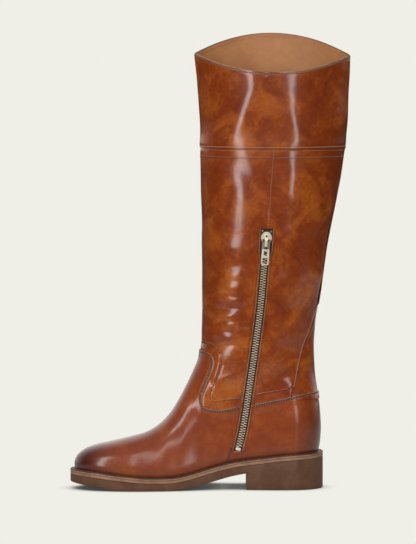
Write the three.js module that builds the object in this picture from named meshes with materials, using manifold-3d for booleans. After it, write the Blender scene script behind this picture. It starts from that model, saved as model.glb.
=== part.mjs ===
// Knee-high riding boot for the right foot: a hollow leather upper with an inner-side zip,
// lasted on an insole and stitched to a welt, midsole and outsole with a low block heel.
// Millimetres, +Z up, toe towards -X, inner (medial) side of the leg towards -Y.
// The origin is the middle of the heel's ground face.

import * as THREE from "three";
import { mergeVertices } from "three/addons/utils/BufferGeometryUtils.js";
import Module from "manifold-3d";

const wasm = await Module();
wasm.setup();

// ---------------------------------------------------------------- driving dimensions

const LAST = {
  toe: -217.0,          // x of the toe at the feather line, where upper meets welt
  heel: 34.9,           // x of the heel at the feather line
  ballWidth: 83.4,      // width across the ball at the feather line
  toeCap: 62,           // length over which the plan closes to the toe
  heelCap: 32,          // length over which the plan closes to the heel
  toeRound: 2.3,        // exponents of those two closing curves
  heelRound: 2.0,
  bulge: 2.2,           // how far the side wall swells out above the feather line
  bulgeHeight: 10,
  toeFullest: 25.5,     // height at which the toe reaches furthest forward
};
const LENGTH = LAST.heel - LAST.toe;

const WALL = 2.4;             // upper leather 1.4 and lining 1.0
const GAP = 0.3;              // left between pieces that meet
const INSOLE_THICK = 3.0;
const WELT_THICK = 2.5;
const WELT_INNER = 9.0;       // how far the welt reaches in under the upper
const MIDSOLE_THICK = 2.7;
const SOLE_EDGE = 4.5;        // how far the sole stands out past the feather line
const HEEL_BREAST = -40.2;    // x of the heel's front face

const COLLAR = {
  front: 447.5,         // height of the front and back corners of the top edge
  back: 446.0,
  innerDip: 17.5,       // the inner side dips, the outer side rises
  outerRise: 21.0,
  from: 300,            // height at which the rows begin to follow the edge
};
const COLUMNS = 24;           // faces from front to back on each side
const SHAFT_ROWS = 16;
const SOLE_STATIONS = 36;

// ---------------------------------------------------------------- tables

// Front of the boot in the middle plane, from the feather line at the toe, over the vamp and
// instep, up the shin to the top edge.
const FRONT = [
  { z: 20.4, x: -217.0 }, { z: 25.5, x: -217.3 }, { z: 32.5, x: -215.1 },
  { z: 37.1, x: -210.9 }, { z: 41.2, x: -204.6 }, { z: 44.7, x: -194.4 },
  { z: 48.2, x: -179.0 }, { z: 52.8, x: -159.4 }, { z: 57.3, x: -143.6 },
  { z: 64.5, x: -131.0 }, { z: 74.5, x: -120.6 }, { z: 89.9, x: -110.3 },
  { z: 104.3, x: -102.6 }, { z: 120.9, x: -94.8 }, { z: 136.4, x: -88.9 },
  { z: 151.8, x: -86.3 }, { z: 187.0, x: -85.5 }, { z: 255.0, x: -85.5 },
  { z: 320.0, x: -86.6 }, { z: 379.0, x: -87.9 }, { z: 420.0, x: -90.8 },
  { z: 447.5, x: -93.2 }, { z: 475.0, x: -95.6 },
];

// Back of the boot in the middle plane, from the feather line at the heel to the top edge.
const BACK = [
  { z: 37.8, x: 34.9 }, { z: 48.7, x: 36.6 }, { z: 62.0, x: 37.4 },
  { z: 79.6, x: 36.4 }, { z: 100.3, x: 33.9 }, { z: 120.9, x: 31.3 },
  { z: 146.7, x: 30.4 }, { z: 172.5, x: 32.0 }, { z: 193.1, x: 35.2 },
  { z: 213.7, x: 38.5 }, { z: 255.0, x: 44.2 }, { z: 296.2, x: 52.5 },
  { z: 337.5, x: 59.8 }, { z: 378.8, x: 64.4 }, { z: 420.0, x: 66.1 },
  { z: 446.0, x: 67.0 }, { z: 475.0, x: 67.8 },
];

// The foot's sections. along: fraction of the last's length from the toe; half: half width as
// a fraction of half the ball width; centre: y of the section's middle; ridge: y of its top
// line; wall and crown: exponents that keep the side upright and the top flat.
const FOOT = [
  { along: 0.000, half: 0.887, centre: -8.0, ridge: -9.0, wall: 2.3, crown: 2.3 },
  { along: 0.147, half: 0.916, centre: -4.0, ridge: -8.0, wall: 2.2, crown: 2.3 },
  { along: 0.266, half: 0.990, centre: -0.8, ridge: -7.0, wall: 2.0, crown: 2.1 },
  { along: 0.353, half: 1.000, centre: 1.4, ridge: -5.0, wall: 1.9, crown: 1.9 },
  { along: 0.433, half: 0.940, centre: 3.2, ridge: -3.0, wall: 1.8, crown: 1.8 },
  { along: 0.512, half: 0.837, centre: 4.4, ridge: -1.0, wall: 1.8, crown: 1.7 },
  { along: 0.587, half: 0.753, centre: 4.6, ridge: 0.0, wall: 1.8, crown: 1.7 },
  { along: 0.663, half: 0.710, centre: 3.5, ridge: 0.0, wall: 1.8, crown: 1.7 },
  { along: 0.738, half: 0.700, centre: 2.2, ridge: 0.0, wall: 1.8, crown: 1.7 },
  { along: 0.821, half: 0.707, centre: 0.8, ridge: 0.0, wall: 1.8, crown: 1.7 },
  { along: 0.901, half: 0.703, centre: 0.2, ridge: 0.0, wall: 1.8, crown: 1.7 },
  { along: 1.000, half: 0.703, centre: 0.0, ridge: 0.0, wall: 1.8, crown: 1.7 },
];

// The leg's sections. half: half width across the leg; centre: y of its middle; point: 0.5 is
// an ellipse, and larger values draw the front and back out to a point.
const LEG = [
  { z: 60, half: 32.5, centre: 1.2, point: 0.50 },
  { z: 110, half: 33.6, centre: 0.8, point: 0.50 },
  { z: 145, half: 34.6, centre: 0.3, point: 0.50 },
  { z: 175, half: 36.8, centre: 0.0, point: 0.50 },
  { z: 205, half: 39.8, centre: 0.0, point: 0.51 },
  { z: 235, half: 42.6, centre: 0.0, point: 0.52 },
  { z: 270, half: 45.2, centre: 0.0, point: 0.54 },
  { z: 310, half: 46.8, centre: 0.0, point: 0.58 },
  { z: 350, half: 47.0, centre: 0.0, point: 0.63 },
  { z: 400, half: 46.6, centre: 0.0, point: 0.72 },
  { z: 447, half: 46.0, centre: 0.0, point: 0.82 },
  { z: 475, half: 46.0, centre: 0.0, point: 0.84 },
];
const ANKLE = { from: 70, to: 140 };   // heights between which foot sections become leg ones

// The sole seen from the side. top: height of the welt's top, the feather line; tread: height
// of the outsole's underside. Toe spring, flat tread under the ball, then the raised waist.
const SOLE = [
  { x: -222, top: 20.6, tread: 7.4 }, { x: -205, top: 19.6, tread: 5.0 },
  { x: -190, top: 18.0, tread: 3.0 }, { x: -175, top: 16.3, tread: 1.0 },
  { x: -160, top: 14.7, tread: 0.0 }, { x: -140, top: 13.2, tread: 0.0 },
  { x: -118, top: 13.2, tread: 0.0 }, { x: -98, top: 16.5, tread: 2.5 },
  { x: -79, top: 21.9, tread: 7.2 }, { x: -50, top: 29.0, tread: 15.0 },
  { x: -31, top: 31.7, tread: 18.2 }, { x: 7, top: 36.0, tread: 22.4 },
  { x: 40, top: 38.0, tread: 24.6 },
];

// Rows of the upper's surface over the foot: heights of each row's front and back ends.
const FOOT_ROWS = [
  { front: 26.0, back: 42.0 }, { front: 33.0, back: 46.5 }, { front: 39.0, back: 51.0 },
  { front: 43.5, back: 55.5 }, { front: 47.5, back: 60.0 }, { front: 51.6, back: 65.0 },
  { front: 56.2, back: 71.0 }, { front: 63.0, back: 78.0 }, { front: 74.0, back: 87.0 },
  { front: 91.0, back: 99.0 }, { front: 112.0, back: 114.0 }, { front: 134.0, back: 135.0 },
];

// The zip's middle line on the inner side, from the bottom stop to the top of its opening,
// and half the width of the opening, which the slider spreads at the top.
const ZIP = [
  { z: 39.5, x: -48.9, half: 4.4 }, { z: 63, x: -43.5, half: 4.4 },
  { z: 104, x: -37.1, half: 4.4 }, { z: 145, x: -31.2, half: 4.4 },
  { z: 186, x: -26.0, half: 4.4 }, { z: 238, x: -21.3, half: 4.4 },
  { z: 248, x: -20.5, half: 5.9 }, { z: 269.5, x: -19.0, half: 6.1 },
];
const ZIP_BOTTOM = 39.5;
const ZIP_TOP = 269.5;
const TAPE = { outer: 2.75, inner: 3.45, half: 12, margin: 6 };
const CHAIN = { outer: 0.4, inner: 2.35, half: 2.85, from: 44.2, to: 245.2 };
const SLIDER_Z = 257.5;

// ---------------------------------------------------------------- curves

// A smooth curve through table rows that never swings past them; straight beyond its ends.
function curve(rows, from, to) {
  const a = rows.map((row) => row[from]);
  const b = rows.map((row) => row[to]);
  const last = a.length - 1;
  const step = a.slice(1).map((value, i) => value - a[i]);
  const slope = step.map((width, i) => (b[i + 1] - b[i]) / width);
  const tangent = a.map((_, i) => {
    if (i === 0) return slope[0];
    if (i === last) return slope[last - 1];
    if (slope[i - 1] * slope[i] <= 0) return 0;
    const before = 2 * step[i] + step[i - 1];
    const after = step[i] + 2 * step[i - 1];
    return (before + after) / (before / slope[i - 1] + after / slope[i]);
  });
  return (value) => {
    if (value <= a[0]) return b[0] + tangent[0] * (value - a[0]);
    if (value >= a[last]) return b[last] + tangent[last] * (value - a[last]);
    let i = 0;
    while (value > a[i + 1]) i += 1;
    const s = (value - a[i]) / step[i];
    const rise = s * s * (3 - 2 * s);
    const lead = s * (1 - s) * (1 - s) * step[i] * tangent[i];
    const trail = s * s * (s - 1) * step[i] * tangent[i + 1];
    return b[i] * (1 - rise) + b[i + 1] * rise + lead + trail;
  };
}

// The outline moved inwards by a distance: forward is +1 for the front, -1 for the back.
function insetOutline(rows, distance, forward) {
  const x = curve(rows, "z", "x");
  return rows.map(({ z }) => {
    const lean = (x(z + 0.5) - x(z - 0.5));
    const length = Math.hypot(1, lean);
    return { z: z - (forward * lean * distance) / length, x: x(z) + (forward * distance) / length };
  });
}

const clamp = (value, low, high) => Math.min(Math.max(value, low), high);
const mix = (a, b, t) => a + (b - a) * t;
const ease = (t) => t * t * (3 - 2 * t);
const root = (value, power) => Math.max(value, 0) ** (1 / power);

const feather = curve(SOLE, "x", "top");
const tread = curve(SOLE, "x", "tread");
const footColumn = (name) => {
  const along = curve(FOOT, "along", name);
  return (x) => along(clamp((x - LAST.toe) / LENGTH, 0, 1));
};
const foot = {
  half: footColumn("half"), centre: footColumn("centre"), ridge: footColumn("ridge"),
  wall: footColumn("wall"), crown: footColumn("crown"),
};
const leg = { half: curve(LEG, "z", "half"), centre: curve(LEG, "z", "centre"), point: curve(LEG, "z", "point") };

// ---------------------------------------------------------------- the boot's form

// The boot's outer surface, or one a set distance inside it.
class BootForm {
  constructor(inset) {
    this.inset = inset;
    this.front = curve(insetOutline(FRONT, inset, 1), "z", "x");
    this.back = curve(insetOutline(BACK, inset, -1), "z", "x");
    this.toe = LAST.toe + inset;
    this.heel = LAST.heel - inset;
  }

  // Height of the vamp's top line at x, found where the front outline passes x.
  ridgeHeight(x) {
    let low = LAST.toeFullest - this.inset;
    let high = 140;
    if (x <= this.front(low)) return low;
    if (x >= this.front(high)) {
      const steep = 1 / (this.front(high) - this.front(high - 1));
      return high + steep * (x - this.front(high));
    }
    for (let step = 0; step < 40; step += 1) {
      const middle = (low + high) / 2;
      if (this.front(middle) < x) low = middle;
      else high = middle;
    }
    return (low + high) / 2;
  }

  // How far the plan is open at x, from 0 at the toe or heel to 1 between the caps.
  capped(x, toe, heel) {
    const toeStart = LAST.toe + LAST.toeCap;
    const heelStart = LAST.heel - LAST.heelCap;
    const towardsToe = clamp((toeStart - x) / (toeStart - toe), 0, 1);
    const towardsHeel = clamp((x - heelStart) / (heel - heelStart), 0, 1);
    return root(1 - towardsToe ** LAST.toeRound, 2) * root(1 - towardsHeel ** LAST.heelRound, 2);
  }

  // Half width of the plan at the feather line.
  planHalf(x) {
    const half = (foot.half(x) * LAST.ballWidth) / 2 - this.inset;
    return half * this.capped(x, this.toe, this.heel);
  }

  footHalf(x, z) {
    const rise = clamp((z - feather(x)) / (this.ridgeHeight(x) - feather(x)), 0, 1);
    const above = clamp((z - feather(x)) / LAST.bulgeHeight, 0, 1);
    const swell = LAST.bulge * (1 - (1 - above) ** 2);
    const half = (foot.half(x) * LAST.ballWidth) / 2 - this.inset + swell;
    const toe = this.front(Math.min(z, LAST.toeFullest));
    return half * this.capped(x, toe, this.back(z)) * root(1 - rise ** foot.wall(x), foot.crown(x));
  }

  legHalf(x, z) {
    const front = this.front(z);
    const back = this.back(z);
    const across = clamp((2 * x - front - back) / (back - front), -1, 1);
    return (leg.half(z) - this.inset) * (1 - across * across) ** leg.point(z);
  }

  // Y of the surface at x and z: side is -1 for the inner side, 1 for the outer side.
  y(x, z, side) {
    const up = ease(clamp((z - ANKLE.from) / (ANKLE.to - ANKLE.from), 0, 1));
    const half = mix(this.footHalf(x, z), this.legHalf(x, z), up);
    const rise = clamp((z - feather(x)) / (this.ridgeHeight(x) - feather(x)), 0, 1);
    const footCentre = mix(foot.centre(x), foot.ridge(x), rise * rise);
    return mix(footCentre, leg.centre(z), up) + side * half;
  }

  // Outward normal of the surface at x and z.
  normal(x, z, side) {
    const reach = 2;
    const alongX = (this.y(x + reach, z, side) - this.y(x - reach, z, side)) / (2 * reach);
    const alongZ = (this.y(x, z + reach, side) - this.y(x, z - reach, side)) / (2 * reach);
    return new THREE.Vector3(-alongX, 1, -alongZ).multiplyScalar(side).normalize();
  }

  point(x, z, side) {
    return new THREE.Vector3(x, this.y(x, z, side), z);
  }

  // One row of the surface, a closed ring that runs back along the inner side and forward
  // along the outer side. The lowest row is the feather line and the highest the top edge.
  ring(row) {
    const front = this.front(row.front);
    const back = this.back(row.back);
    const points = [];
    for (let k = 0; k < 2 * COLUMNS; k += 1) {
      const side = k <= COLUMNS ? -1 : 1;
      const angle = (Math.PI * k) / COLUMNS;
      const s = (1 - Math.cos(angle)) / 2;
      const x = mix(front, back, s);
      const planX = mix(this.toe, this.heel, s);
      const sag = feather(planX) - mix(feather(this.toe), feather(this.heel), s);
      const edge = (side < 0 ? -COLLAR.innerDip : COLLAR.outerRise) * 4 * s * (1 - s);
      const z = mix(row.front, row.back, s) + row.sag * sag + row.edge * edge;
      const onMiddle = k === 0 || k === COLUMNS;
      const y = onMiddle ? (this.y(x, z, 1) + this.y(x, z, -1)) / 2 : this.y(x, z, side);
      points.push(new THREE.Vector3(x, y, z));
    }
    return points;
  }
}

const outerForm = new BootForm(0);
const innerForm = new BootForm(WALL);

// ---------------------------------------------------------------- mesh helpers

// A closed mesh from rings of equal length, each joined to the next. With closed set, the last
// ring joins the first; otherwise the two end rings are filled across from point to point.
function loft(rings, closed) {
  const size = rings[0].length;
  const index = [];
  const quad = (a, b, c, d) => index.push(a, b, c, a, c, d);
  const spans = closed ? rings.length : rings.length - 1;
  for (let j = 0; j < spans; j += 1) {
    const next = (j + 1) % rings.length;
    for (let k = 0; k < size; k += 1) {
      const right = (k + 1) % size;
      quad(j * size + k, j * size + right, next * size + right, next * size + k);
    }
  }
  if (!closed) {
    const end = (rings.length - 1) * size;
    for (let k = 0; k < size / 2 - 1; k += 1) {
      const across = size - 1 - k;
      quad(k + 1, k, across, across - 1);
      quad(end + k, end + k + 1, end + across - 1, end + across);
    }
  }
  const geometry = new THREE.BufferGeometry().setFromPoints(rings.flat());
  geometry.setIndex(index);
  return facingOut(geometry);
}

// The geometry with its faces turned outwards.
function facingOut(geometry) {
  const position = geometry.getAttribute("position");
  const corner = [0, 1, 2].map(() => new THREE.Vector3());
  const index = Array.from(geometry.index.array);
  let volume = 0;
  for (let i = 0; i < index.length; i += 3) {
    corner.forEach((point, j) => point.fromBufferAttribute(position, index[i + j]));
    volume += corner[0].dot(corner[1].clone().cross(corner[2]));
  }
  if (volume < 0) {
    for (let i = 0; i < index.length; i += 3) {
      [index[i], index[i + 1]] = [index[i + 1], index[i]];
    }
    geometry.setIndex(index);
  }
  geometry.computeVertexNormals();
  return geometry;
}

function toManifold(geometry) {
  const bare = geometry.clone();
  bare.deleteAttribute("normal");
  bare.deleteAttribute("uv");
  const merged = mergeVertices(bare, 1e-4);
  return new wasm.Manifold(new wasm.Mesh({
    numProp: 3,
    vertProperties: new Float32Array(merged.getAttribute("position").array),
    triVerts: new Uint32Array(merged.index.array),
  }));
}

function fromManifold(solid) {
  const mesh = solid.getMesh();
  const geometry = new THREE.BufferGeometry();
  geometry.setAttribute("position", new THREE.BufferAttribute(mesh.vertProperties, 3));
  geometry.setIndex(new THREE.BufferAttribute(mesh.triVerts, 1));
  geometry.computeVertexNormals();
  return geometry;
}

// ---------------------------------------------------------------- upper

function upperRows() {
  const rows = [{ front: feather(LAST.toe), back: feather(LAST.heel), sag: 1, edge: 0 }];
  FOOT_ROWS.forEach((row, i) => {
    rows.push({ ...row, sag: Math.max(1 - ((i + 1) / 9) ** 1.3, 0), edge: 0 });
  });
  const first = rows[rows.length - 1];
  for (let i = 1; i <= SHAFT_ROWS; i += 1) {
    const t = i / SHAFT_ROWS;
    const front = mix(first.front, COLLAR.front, t);
    const edge = clamp((front - COLLAR.from) / (COLLAR.front - COLLAR.from), 0, 1) ** 1.4;
    rows.push({ front, back: mix(first.back, COLLAR.back, t), sag: 0, edge });
  }
  return rows;
}

// The slot for the zip: its outline in the side view, cut through the inner wall only.
function zipCutter() {
  const middle = curve(ZIP, "z", "x");
  const half = curve(ZIP, "z", "half");
  const levels = ZIP.map((row) => row.z);
  const corners = [
    ...levels.map((z) => new THREE.Vector2(middle(z) - half(z), z)),
    ...levels.reverse().map((z) => new THREE.Vector2(middle(z) + half(z), z)),
  ];
  const geometry = new THREE.ExtrudeGeometry(new THREE.Shape(corners), { depth: 60, bevelEnabled: false });
  geometry.rotateX(Math.PI / 2);
  geometry.translate(0, -12, 0);
  return geometry;
}

function upperGeometry() {
  const rows = upperRows();
  const lift = (ring) => ring.map((point) => point.clone().add(new THREE.Vector3(0, 0, GAP)));
  const outer = rows.map((row) => lift(outerForm.ring(row)));
  const inner = rows.map((row) => lift(innerForm.ring(row)));
  const shell = loft([...outer, ...inner.reverse()], true);
  return fromManifold(toManifold(shell).subtract(toManifold(zipCutter())));
}

// ---------------------------------------------------------------- sole

// Places along a plan from toe to heel, closer together at the ends.
function stations(from, to) {
  return Array.from({ length: SOLE_STATIONS + 1 }, (_, i) => {
    return mix(from, to, (1 - Math.cos((Math.PI * i) / SOLE_STATIONS)) / 2);
  });
}

// A plate with the plan of a form between two heights that follow the sole's side view.
function plate(form, places, top, bottom) {
  return loft(places.map((x) => {
    const half = form.planHalf(x);
    const centre = foot.centre(x);
    return [
      new THREE.Vector3(x, centre - half, top(x)), new THREE.Vector3(x, centre + half, top(x)),
      new THREE.Vector3(x, centre + half, bottom(x)), new THREE.Vector3(x, centre - half, bottom(x)),
    ];
  }), false);
}

const soleForm = new BootForm(-SOLE_EDGE);
const soleTop = (drop) => (x) => feather(x) - drop;
const INSOLE_CLEARANCE = 0.6;
const END_TRIM = 0.15;   // keeps the first and last stations from closing to a point
const solePlaces = stations(soleForm.toe + END_TRIM, soleForm.heel - END_TRIM);

function insoleGeometry() {
  const form = new BootForm(WALL + INSOLE_CLEARANCE);
  const places = stations(form.toe + END_TRIM, form.heel - END_TRIM);
  return plate(form, places, soleTop(-GAP - INSOLE_THICK), soleTop(-GAP));
}

function weltGeometry() {
  const innerEdge = new BootForm(WELT_INNER - SOLE_EDGE);
  const edgeOf = (form, places, side) => places.map((x) => [x, foot.centre(x) + side * form.planHalf(x)]);
  const innerPlaces = stations(innerEdge.toe + END_TRIM, innerEdge.heel - END_TRIM);
  const around = (form, places) => [
    ...edgeOf(form, places, -1), ...edgeOf(form, [...places].reverse(), 1),
  ];
  const outerLoop = around(soleForm, solePlaces);
  const innerLoop = around(innerEdge, innerPlaces);
  return loft(outerLoop.map(([x, y], i) => {
    const [innerX, innerY] = innerLoop[i];
    return [
      new THREE.Vector3(x, y, feather(x)), new THREE.Vector3(x, y, feather(x) - WELT_THICK),
      new THREE.Vector3(innerX, innerY, feather(innerX) - WELT_THICK),
      new THREE.Vector3(innerX, innerY, feather(innerX)),
    ];
  }), true);
}

const midsoleTop = WELT_THICK + GAP;
const outsoleTop = midsoleTop + MIDSOLE_THICK + GAP;

function midsoleGeometry() {
  return plate(soleForm, solePlaces, soleTop(midsoleTop), soleTop(midsoleTop + MIDSOLE_THICK));
}

function outsoleGeometry() {
  return plate(soleForm, solePlaces, soleTop(outsoleTop), tread);
}

function heelGeometry() {
  const places = solePlaces.filter((x) => x > HEEL_BREAST + 1);
  return plate(soleForm, [HEEL_BREAST, ...places], (x) => tread(x) - GAP, () => 0);
}

// ---------------------------------------------------------------- zip

// A strip that follows the zip's middle line between two forms inside the outer surface.
function zipStrip({ outer, inner, half, from, to }) {
  const outside = new BootForm(outer);
  const inside = new BootForm(inner);
  const middle = curve(ZIP, "z", "x");
  const rows = 22;
  const across = 4;
  const rings = [];
  for (let j = 0; j <= rows; j += 1) {
    const z = mix(from, to, j / rows);
    const offsets = Array.from({ length: across + 1 }, (_, k) => mix(-half, half, k / across));
    rings.push([
      ...offsets.map((u) => outside.point(middle(z) + u, z, -1)),
      ...offsets.reverse().map((u) => inside.point(middle(z) + u, z, -1)),
    ]);
  }
  return loft(rings, false);
}

// The frame of a small part on the zip: u across, v up the zip, w out from the leather.
function zipFrame(z) {
  const middle = curve(ZIP, "z", "x");
  const x = middle(z);
  const w = outerForm.normal(x, z, -1);
  const up = outerForm.point(middle(z + 4), z + 4, -1).sub(outerForm.point(middle(z - 4), z - 4, -1));
  const u = up.cross(w).normalize();
  const v = w.clone().cross(u);
  return new THREE.Matrix4().makeBasis(u, v, w).setPosition(outerForm.point(x, z, -1));
}

const SLIDER = { top: 8.9, bottom: -11.2, shoulder: 5.5, waist: 4.1, under: -2.2, over: 0.8 };
const CROWN = { width: 2.2, from: 5.4, to: -11.2, roof: 2.75, top: 3.5, post: 0.9 };
const PULL = {
  hinge: -9.2, out: 1.8, thick: 1.0, half: 3.9, length: 16.2, bar: 0.65, rest: 2.6,
  slot: { half: 1.7, to: -6.0 },
  window: { half: 2.55, from: -8.6, to: -14.4 },
};
const TOP_STOP = { across: 4.4, up: 9.6, width: 1.9, height: 2.4, under: -2.2, over: -0.2 };
const BOTTOM_STOP = { above: 2.4, width: 5.4, height: 3.2, under: -2.2, over: 0.1 };

function sliderGeometry() {
  const { top, bottom, shoulder, waist, under, over } = SLIDER;
  const outline = new THREE.Shape();
  outline.moveTo(-waist, bottom);
  outline.lineTo(waist, bottom);
  outline.lineTo(waist, -3);
  outline.bezierCurveTo(waist, -0.5, shoulder, 0, shoulder, 2.4);
  outline.bezierCurveTo(shoulder, 5.8, 3.2, 6.6, 1.6, top);
  outline.lineTo(-1.6, top);
  outline.bezierCurveTo(-3.2, 6.6, -shoulder, 5.8, -shoulder, 2.4);
  outline.bezierCurveTo(-shoulder, 0, -waist, -0.5, -waist, -3);
  const body = new THREE.ExtrudeGeometry(outline, { depth: over - under, bevelEnabled: false, curveSegments: 5 });
  body.translate(0, 0, under);

  const side = new THREE.Shape();
  side.moveTo(CROWN.from, 0);
  side.bezierCurveTo(CROWN.from - 1, CROWN.top - 1, CROWN.from - 3, CROWN.top, CROWN.from - 6, CROWN.top);
  side.lineTo(CROWN.to + 2, CROWN.top);
  side.bezierCurveTo(CROWN.to + 0.5, CROWN.top, CROWN.to, CROWN.top - 0.7, CROWN.to, 0);
  side.lineTo(CROWN.to + CROWN.post, 0);
  side.lineTo(CROWN.to + CROWN.post, CROWN.roof - 0.3);
  side.lineTo(CROWN.to + CROWN.post + 0.4, CROWN.roof);
  side.lineTo(CROWN.from - 6.5, CROWN.roof);
  side.lineTo(CROWN.from - 6.5, 0);
  const crown = new THREE.ExtrudeGeometry(side, { depth: CROWN.width, bevelEnabled: false, curveSegments: 5 });
  const turn = new THREE.Matrix4().makeBasis(
    new THREE.Vector3(0, 1, 0), new THREE.Vector3(0, 0, 1), new THREE.Vector3(1, 0, 0),
  );
  crown.applyMatrix4(turn);
  crown.translate(-CROWN.width / 2, 0, 0);
  return fromManifold(toManifold(body).add(toManifold(crown)));
}

// The pull tab, with its hinge bar on its own X axis and the tab hanging down along -Y.
function pullGeometry() {
  const { half, length, thick, bar, slot, window } = PULL;
  const outline = new THREE.Shape();
  outline.moveTo(-half + 0.2, bar);
  outline.lineTo(half - 0.2, bar);
  outline.lineTo(half - 0.1, bar - length + 1);
  outline.lineTo(half - 1.1, bar - length);
  outline.lineTo(-half + 1.1, bar - length);
  outline.lineTo(-half + 0.1, bar - length + 1);
  const opening = (halfWidth, from, to) => {
    const corners = [[-halfWidth, from], [-halfWidth, to], [halfWidth, to], [halfWidth, from]];
    return new THREE.Path(corners.map(([x, y]) => new THREE.Vector2(x, y)));
  };
  outline.holes.push(opening(slot.half, -bar, slot.to), opening(window.half, window.from, window.to));
  const geometry = new THREE.ExtrudeGeometry(outline, { depth: thick, bevelEnabled: false });
  geometry.translate(0, 0, -thick / 2);
  return geometry;
}

function stopGeometry({ width, height, under, over }) {
  const geometry = new THREE.BoxGeometry(width, height, over - under);
  geometry.translate(0, 0, (over + under) / 2);
  return geometry;
}

// ---------------------------------------------------------------- the assembly

const finish = {
  leather: new THREE.MeshStandardMaterial({ color: 0x96491c, roughness: 0.35 }),
  lining: new THREE.MeshStandardMaterial({ color: 0xb47c52, roughness: 0.8 }),
  welt: new THREE.MeshStandardMaterial({ color: 0xa87353, roughness: 0.7 }),
  rubber: new THREE.MeshStandardMaterial({ color: 0x5f4130, roughness: 0.75 }),
  tape: new THREE.MeshStandardMaterial({ color: 0x3a1c12, roughness: 0.9 }),
  brass: new THREE.MeshStandardMaterial({ color: 0xd8c48e, roughness: 0.3, metalness: 1 }),
};

const boot = new THREE.Group();

function addPiece(name, geometry, material, matrix) {
  const mesh = new THREE.Mesh(geometry, material);
  mesh.name = name;
  if (matrix) mesh.applyMatrix4(matrix);
  boot.add(mesh);
  return mesh;
}

addPiece("upper", upperGeometry(), finish.leather);
addPiece("insole", insoleGeometry(), finish.lining);
addPiece("welt", weltGeometry(), finish.welt);
addPiece("midsole", midsoleGeometry(), finish.welt);
addPiece("outsole", outsoleGeometry(), finish.rubber);
addPiece("heel", heelGeometry(), finish.rubber);

const tapeEnds = { from: ZIP_BOTTOM - TAPE.margin + 2, to: ZIP_TOP + TAPE.margin };
addPiece("zip_tape", zipStrip({ ...TAPE, ...tapeEnds }), finish.tape);
addPiece("zip_chain", zipStrip(CHAIN), finish.brass);

const sliderFrame = zipFrame(SLIDER_Z);
addPiece("zip_slider", sliderGeometry(), finish.brass, sliderFrame);

const hang = new THREE.Matrix4().makeRotationX(-THREE.MathUtils.degToRad(PULL.rest));
const hinge = new THREE.Matrix4().makeTranslation(0, PULL.hinge, PULL.out);
addPiece("zip_pull", pullGeometry(), finish.brass, sliderFrame.clone().multiply(hinge).multiply(hang));

for (const [name, side] of [["zip_top_stop_front", -1], ["zip_top_stop_back", 1]]) {
  const beside = new THREE.Matrix4().makeTranslation(side * TOP_STOP.across, TOP_STOP.up, 0);
  addPiece(name, stopGeometry(TOP_STOP), finish.brass, sliderFrame.clone().multiply(beside));
}
addPiece("zip_bottom_stop", stopGeometry(BOTTOM_STOP), finish.brass, zipFrame(ZIP_BOTTOM + BOTTOM_STOP.above));

export default boot;
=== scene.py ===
"""Looks of a knee-high riding boot for the right foot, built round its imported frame.

The tables and the form are in millimetres and the meshes in metres. The toe points towards
-X, the inner side of the leg with the zip towards -Y, and +Z is up. The origin is the middle
of the heel's ground face.
"""

from __future__ import annotations

import logging
import math
from contextlib import contextmanager
from dataclasses import dataclass
from enum import Enum
from typing import Any, Callable, Iterator, NamedTuple, Sequence

import bmesh
import bpy
import numpy as np
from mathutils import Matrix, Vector
from mathutils.bvhtree import BVHTree

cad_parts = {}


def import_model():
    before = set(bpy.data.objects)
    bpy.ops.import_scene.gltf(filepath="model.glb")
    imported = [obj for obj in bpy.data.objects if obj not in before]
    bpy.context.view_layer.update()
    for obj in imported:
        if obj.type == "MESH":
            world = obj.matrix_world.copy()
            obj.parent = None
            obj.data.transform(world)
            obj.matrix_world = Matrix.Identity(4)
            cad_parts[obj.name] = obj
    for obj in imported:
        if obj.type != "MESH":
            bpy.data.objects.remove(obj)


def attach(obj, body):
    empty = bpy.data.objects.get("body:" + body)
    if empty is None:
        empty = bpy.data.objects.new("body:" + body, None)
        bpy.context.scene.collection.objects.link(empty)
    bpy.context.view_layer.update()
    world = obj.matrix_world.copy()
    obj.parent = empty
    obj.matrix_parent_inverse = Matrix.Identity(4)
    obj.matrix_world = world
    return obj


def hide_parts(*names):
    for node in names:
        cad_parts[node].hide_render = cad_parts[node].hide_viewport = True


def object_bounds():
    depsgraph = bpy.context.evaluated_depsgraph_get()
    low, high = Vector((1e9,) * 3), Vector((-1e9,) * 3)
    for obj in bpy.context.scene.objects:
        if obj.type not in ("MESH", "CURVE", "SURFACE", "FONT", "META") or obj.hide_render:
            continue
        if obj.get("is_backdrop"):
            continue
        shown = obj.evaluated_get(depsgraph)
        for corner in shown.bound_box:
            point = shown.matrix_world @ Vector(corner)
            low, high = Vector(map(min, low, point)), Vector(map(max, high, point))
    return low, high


log = logging.getLogger("boot")

Array = np.ndarray
MM = 0.001
OUTWARD = np.array([0.0, 0.0, 1.0])
Field = Callable[[Array], Array]


class Side(float, Enum):
    """The two sides of the leg, by the sign of their Y."""

    INNER = -1.0
    OUTER = 1.0


class Slot(str, Enum):
    """The record's material slots."""

    LEATHER = "upper_leather"
    LINING = "lining"
    WELT = "welt_leather"
    RUBBER = "sole_rubber"
    TAPE = "zip_tape"
    BRASS = "zip_brass"


# ---------------- sizes of the last


@dataclass(frozen=True)
class Last:
    """Driving sizes of the last, the same as the frame's own."""

    toe: float = -217.0
    heel: float = 34.9
    ball_width: float = 83.4
    toe_cap: float = 62.0
    heel_cap: float = 32.0
    toe_round: float = 2.3
    heel_round: float = 2.0
    bulge: float = 2.2
    bulge_height: float = 10.0
    toe_fullest: float = 25.5
    ankle_from: float = 70.0
    ankle_to: float = 140.0
    ridge_top: float = 140.0

    @property
    def length(self) -> float:
        """Length from the toe to the heel at the feather line."""
        return self.heel - self.toe


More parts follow.
